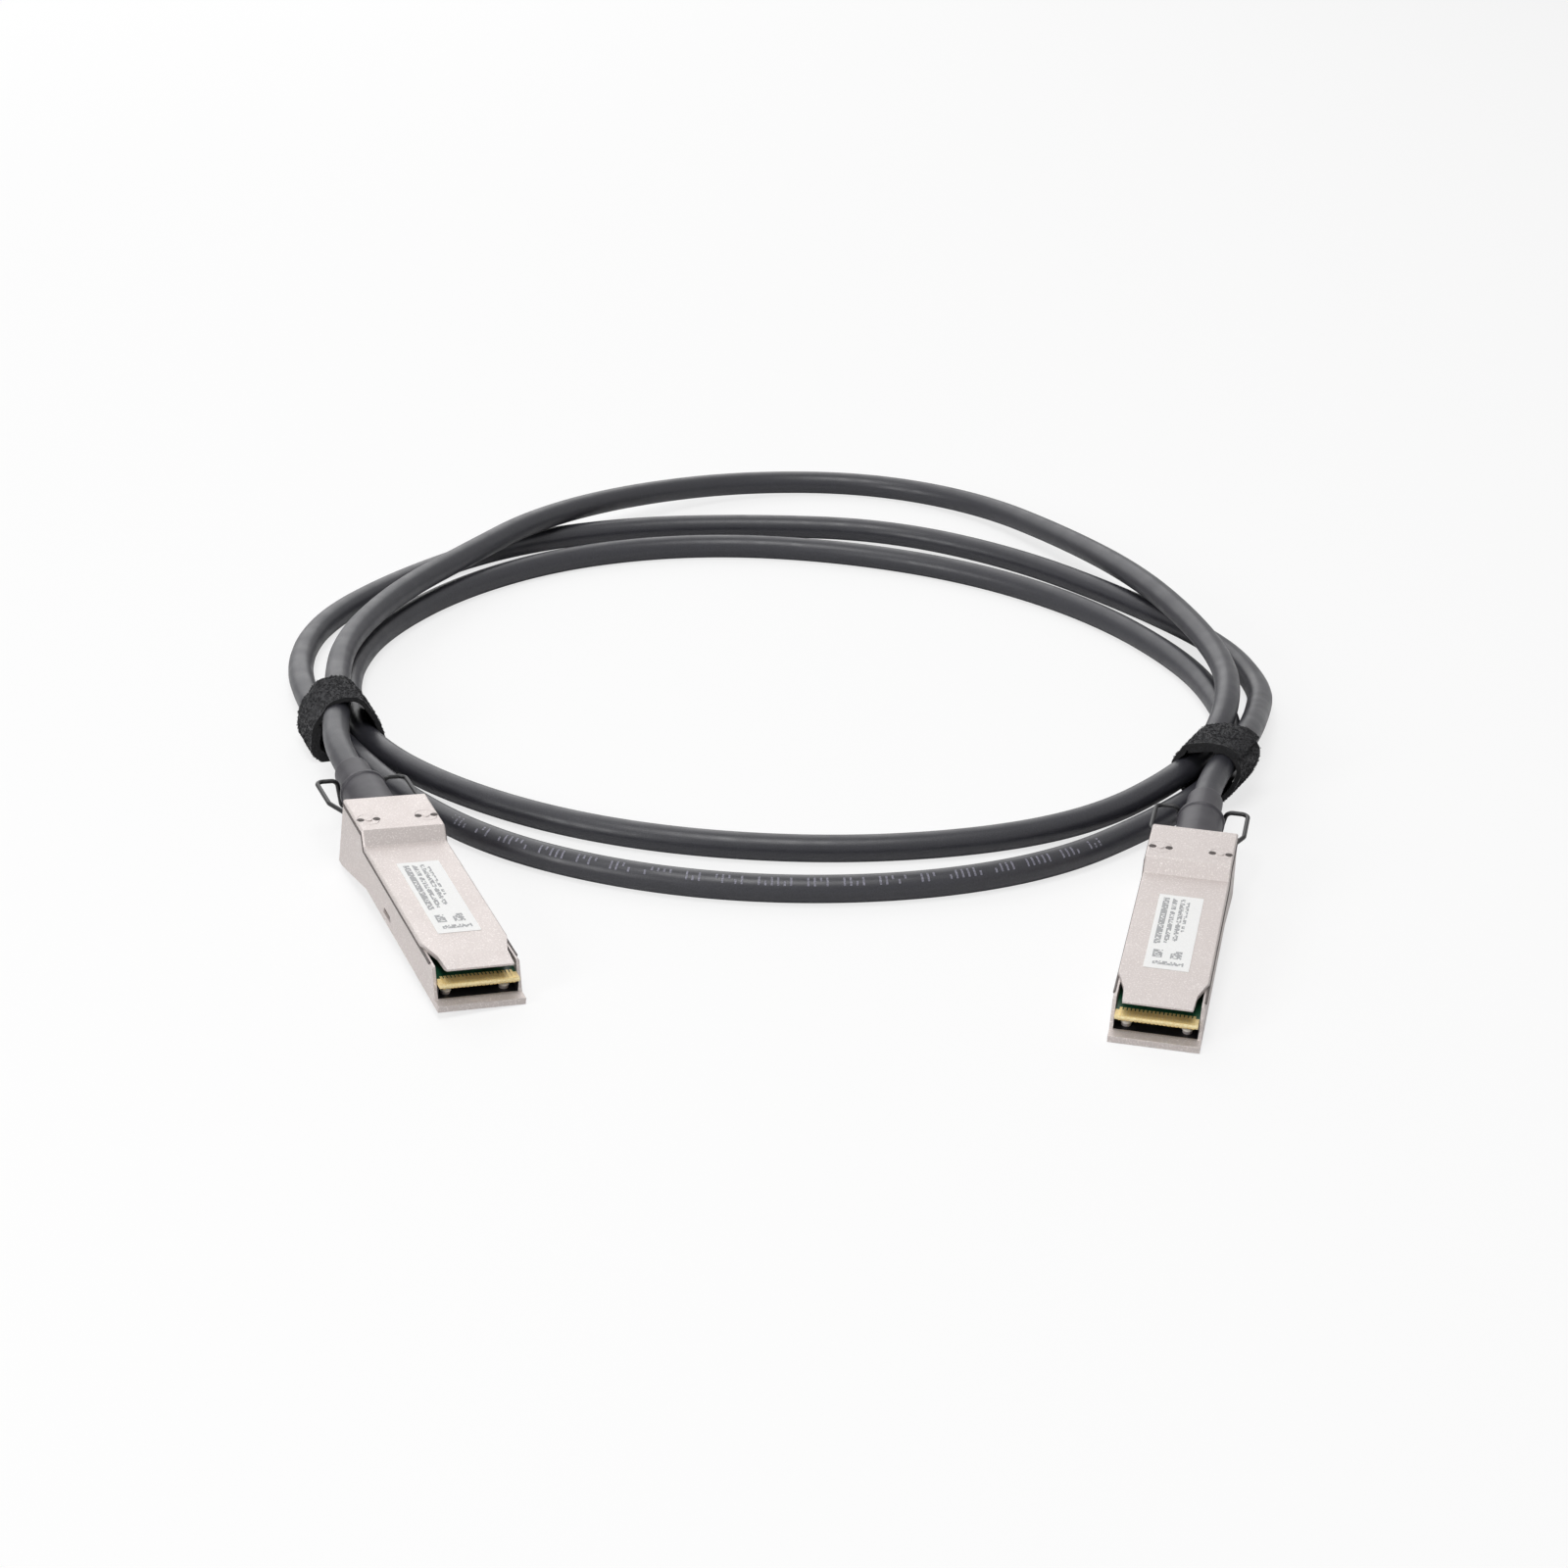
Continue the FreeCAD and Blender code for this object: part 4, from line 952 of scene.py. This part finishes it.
def blobs(side, name, acrosses, form, material):
    """Stretched, cut-off spheres on a plug's screws or posts, as one piece."""
    domes = []
    for across in acrosses:
        place = Vector((across, -form["depth"], form["top"])) * MM
        deselect()
        bpy.ops.mesh.primitive_uv_sphere_add(
            segments=20, ring_count=10, radius=form["radius"] * MM, location=place,
        )
        dome = bpy.context.object
        dome.scale = form["stretch"]
        apply_place(dome)
        edit_all(dome)
        bpy.ops.mesh.bisect(
            plane_co=place - Vector((0, 0, BLOB_FOOT * MM)), plane_no=(0, 0, 1),
            clear_inner=True, use_fill=True,
        )
        bpy.ops.object.mode_set(mode="OBJECT")
        domes.append(dome)
    piece = join_pieces(domes)
    piece.name = f"{side}_{name}"
    seat(piece, plug_matrix(side), material)
    bpy.ops.object.shade_smooth_by_angle(angle=math.radians(40))
    return piece


class CABLE_OT_fill_screws(Operator):
    """Fills the screws' drive slots with dark blobs of painted shade"""

    bl_idname = "cable.fill_screws"
    bl_label = "Fill the screw slots"

    def execute(self, context):
        # the blobs' brown-black is painted shade of the drive recesses
        slot_shade = painted_slot_shade()
        acrosses = [hand * SCREW["across"] + slot * SCREW["slot"]
                    for hand in (-1, 1) for slot in (-1, 1)]
        for side in SIDES:
            fill = blobs(side, "screw_slot_shade", acrosses, SCREW, slot_shade)
            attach(fill, ROOT)
        return {"FINISHED"}


class CABLE_OT_cap_posts(Operator):
    """Puts a white cap on each post in the mouths, as a painted highlight of its lit top"""

    bl_idname = "cable.cap_posts"
    bl_label = "Cap the posts"

    def execute(self, context):
        # the white cap material is a painted highlight on each post, not a real nylon part
        nylon = painted_highlight_white()
        acrosses = [hand * POST["across"] for hand in (-1, 1)]
        for side in SIDES:
            cap = blobs(side, "post_highlight_caps", acrosses, POST, nylon)
            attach(cap, ROOT)
        return {"FINISHED"}


class CABLE_OT_print_labels(Operator):
    """Prints plain grey fields on the two labels"""

    bl_idname = "cable.print_labels"
    bl_label = "Print the labels"

    def execute(self, context):
        cell = context.scene.plug_settings.ink_cell
        ink = thermal_ink()
        for side in SIDES:
            matrix = plug_matrix(side)
            inverse = matrix.inverted()
            places = [inverse @ v.co for v in NODES[f"{side}_label"].data.vertices]
            low = Vector([min(place[i] for place in places) for i in range(3)])
            high = Vector([max(place[i] for place in places) for i in range(3)])
            span = high - low
            print_film = flat_grid(f"{side}_label_print", span.xy,
                                   (round(span.x / cell), round(span.y / cell)))
            chance = random.Random(LABEL_SEED)

            def in_field(place):
                length, width = 0.5 - place.y / span.y, 0.5 + place.x / span.x
                shares = [share for (start, end), (left, right), share in FIELDS
                          if start < length < end and left < width < right]
                return shares and chance.random() <= shares[0]

            keep_faces(print_film, in_field)
            thicken(print_film, INK * MM, 1)
            apply_modifiers(print_film)
            middle = (low + high) / 2
            middle.z = high.z + INK * MM
            seat(print_film, matrix @ Matrix.Translation(middle), ink)
            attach(print_film, ROOT)
        return {"FINISHED"}


class CABLE_OT_line_trays(Operator):
    """Lays a black sheet of painted shade in the mouth of each tray"""

    bl_idname = "cable.line_trays"
    bl_label = "Line the trays"

    def execute(self, context):
        thickness = context.scene.plug_settings.film
        # the black sheet's material is painted shade of the mouth's inside
        polyester = painted_shade_film()
        half = TRAY["half"] * MM - thickness
        front = -TRAY["lip"] * MM + thickness
        rear = -TRAY["rear"] * MM
        for side in SIDES:
            deselect()
            bpy.ops.mesh.primitive_plane_add(size=1.0)
            film = context.object
            film.name = f"{side}_painted_shade_film"
            film.location = (0, (front + rear) / 2, TRAY["floor"] * MM + thickness)
            film.scale = (2 * half, rear - front, 1)
            apply_place(film)
            # the film's two long edges are folded up along the walls
            bpy.ops.object.mode_set(mode="EDIT")
            bpy.ops.mesh.select_mode(type="EDGE")
            bpy.ops.mesh.select_all(action="DESELECT")
            mesh = bmesh.from_edit_mesh(film.data)
            for edge in mesh.edges:
                ends = [vertex.co for vertex in edge.verts]
                edge.select_set(abs(ends[0].x - ends[1].x) < thickness)
            bmesh.update_edit_mesh(film.data)
            bpy.ops.mesh.extrude_edges_move(
                TRANSFORM_OT_translate={"value": (0, 0, TRAY["rise"] * MM)}
            )
            close_mesh()
            thicken(film, thickness, 0)
            apply_modifiers(film)
            seat(film, plug_matrix(side), polyester)
            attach(film, ROOT)
        return {"FINISHED"}


class CABLE_OT_finish_plugs(Operator):
    """Gives the plugs' metal, card, boot and wire their finishes"""

    bl_idname = "cable.finish_plugs"
    bl_label = "Finish the plugs"

    def execute(self, context):
        finishes = {
            "top_shell": plated_zinc(),
            "contact_pads": hard_gold(),
            "memory_chip": epoxy_package(),
            "latch_slider": stamped_steel(),
            "return_springs": spring_wire(),
            "pull_wire": coated_wire(),
            "strain_boot": moulded_boot(),
            "crimp_ferrule": crimped_brass(),
            "twinax_pairs": foil_wrap(),
            "label": label_stock(),
        }
        finishes["bottom_shell"] = finishes["housing_screws"] = finishes["top_shell"]
        edge = bare_epoxy()
        for side in SIDES:
            finishes["paddle_card"] = solder_mask(side)
            for name, material in finishes.items():
                own = NODES[f"{side}_{name}"].data.materials
                own.clear()
                own.append(material)
            forward = mount(f"{side}_plug_mating")[1]
            card = NODES[f"{side}_paddle_card"].data
            card.materials.append(edge)
            for face in card.polygons:
                face.material_index = 1 if face.normal.dot(forward) > FACING else 0
        return {"FINISHED"}


# ---- stage


def white_sweep():
    """Matt white sweep: it shows as white and keeps the object's shadow."""
    material = bpy.data.materials.new("white_sweep")
    tree = empty_tree(material)
    paint = add_node(tree, "BsdfDiffuse", Color=linear("fafafa"))
    glow = add_node(tree, "Emission", Color=(1, 1, 1, 1), Strength=1.0)
    path = add_node(tree, "LightPath")
    share = add_node(tree, "Math", {0: path.outputs["Is Camera Ray"]},
                     {"operation": "MULTIPLY"})
    share.inputs[1].default_value = GLOW
    mix = add_node(tree, "MixShader", {"Fac": share.outputs["Value"],
                   1: paint.outputs["BSDF"], 2: glow.outputs["Emission"]})
    add_node(tree, "OutputMaterial", {"Surface": mix.outputs["Shader"]})
    return material


def white_room():
    """World that shows as white, and is dimmer as a light on the camera's side than behind."""
    world = bpy.data.worlds.new("studio")
    tree = empty_tree(world)
    path = add_node(tree, "LightPath")
    way = add_node(tree, "TexCoord")
    facing = add_node(tree, "SeparateXYZ", {"Vector": way.outputs["Generated"]})
    fill = add_node(tree, "MapRange", {"Value": facing.outputs["Y"]},
                    From_Min=-0.8, From_Max=0.3, To_Min=0.1, To_Max=0.28)
    gloss = add_node(tree, "Math", {0: path.outputs["Is Glossy Ray"]},
                     {"operation": "MULTIPLY"})
    gloss.inputs[1].default_value = SHINE
    shine = add_node(tree, "Math", {0: fill.outputs["Result"],
                     1: gloss.outputs["Value"]}, {"operation": "MAXIMUM"})
    strength = add_node(tree, "Math", {0: shine.outputs["Value"],
                        1: path.outputs["Is Camera Ray"]}, {"operation": "MAXIMUM"})
    room = add_node(tree, "Background", {"Strength": strength.outputs["Value"]},
                    Color=(1, 1, 1, 1))
    add_node(tree, "OutputWorld", {"Surface": room.outputs["Background"]})
    return world


class CABLE_OT_set_stage(Operator):
    """Sets up the camera, the lamps and the pale floor"""

    bl_idname = "cable.set_stage"
    bl_label = "Set the stage"

    def execute(self, context):
        settings = context.scene.stage_settings
        place = Vector(settings.camera_place)
        forward = (Vector(settings.camera_target) - place).normalized()
        right = forward.cross(Vector((0, 0, 1))).normalized()
        up = right.cross(forward)
        cosine, sine = math.cos(settings.camera_roll), math.sin(settings.camera_roll)
        rolled_right = cosine * right + sine * up
        rolled_up = -sine * right + cosine * up
        data = bpy.data.cameras.new("camera")
        data.lens = settings.camera_lens
        data.sensor_width = 36.0
        data.clip_start = 0.01
        camera = new_object("camera", data)
        turn = Matrix((rolled_right, rolled_up, -forward)).transposed()
        camera.matrix_world = Matrix.Translation(place) @ turn.to_4x4()
        context.scene.camera = camera

        deselect()
        bpy.ops.mesh.primitive_plane_add(size=8.0, location=(0, 0, 0))
        floor = context.object
        floor.name = "floor"
        floor.data.materials.append(white_sweep())

        for name, spot, target, width, watts in (
            ("back_softbox", (-0.35, 0.95, 0.65), (0, 0.1, 0), 1.2, 6.0),
            ("top_softbox", (-0.1, -0.25, 1.2), (0, 0.05, 0), 0.6, 7.2),
            ("front_softbox", (-0.9, -0.75, 0.5), (0, 0, 0), 0.4, 4.6),
        ):
            light = bpy.data.lights.new(name, "AREA")
            light.size = width
            light.energy = watts
            lamp = new_object(name, light)
            lamp.location = spot
            aim = Vector(target) - Vector(spot)
            lamp.rotation_euler = aim.to_track_quat("-Z", "Y").to_euler()

        context.scene.world = white_room()
        context.scene.view_settings.view_transform = "Standard"
        return {"FINISHED"}


class CABLE_PT_panel(Panel):
    """Lists the steps that dress the cable"""

    bl_label = "Direct attach cable"
    bl_idname = "CABLE_PT_panel"
    bl_space_type = "VIEW_3D"
    bl_region_type = "UI"
    bl_category = "Cable"

    def draw(self, context):
        for operator in OPERATORS:
            self.layout.operator(operator.bl_idname)


SETTINGS = {
    "cable_settings": CableSettings,
    "strap_settings": StrapSettings,
    "plug_settings": PlugSettings,
    "stage_settings": StageSettings,
}
OPERATORS = (
    CABLE_OT_set_stage,
    CABLE_OT_lay_cable,
    CABLE_OT_wrap_straps,
    CABLE_OT_mark_jacket,
    CABLE_OT_declare_cord,
    CABLE_OT_finish_plugs,
    CABLE_OT_seal_housings,
    CABLE_OT_fill_screws,
    CABLE_OT_cap_posts,
    CABLE_OT_line_trays,
    CABLE_OT_print_labels,
)


def register():
    for name, group in SETTINGS.items():
        bpy.utils.register_class(group)
        setattr(bpy.types.Scene, name, bpy.props.PointerProperty(type=group))
    for shown in (*OPERATORS, CABLE_PT_panel):
        bpy.utils.register_class(shown)


def unregister():
    for shown in reversed((*OPERATORS, CABLE_PT_panel)):
        bpy.utils.unregister_class(shown)
    for name, group in SETTINGS.items():
        delattr(bpy.types.Scene, name)
        bpy.utils.unregister_class(group)


def corners(box):
    """A box as plain lists."""
    return [list(corner) for corner in box]


def main():
    """Dresses the whole object."""
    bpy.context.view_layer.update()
    register()
    bpy.ops.cable.set_stage()
    bpy.ops.cable.lay_cable()
    bpy.ops.cable.wrap_straps()
    bpy.ops.cable.mark_jacket()
    bpy.ops.cable.declare_cord()
    bpy.ops.cable.finish_plugs()
    bpy.ops.cable.seal_housings()
    bpy.ops.cable.fill_screws()
    bpy.ops.cable.cap_posts()
    bpy.ops.cable.line_trays()
    bpy.ops.cable.print_labels()


if __name__ == "__main__":
    main()
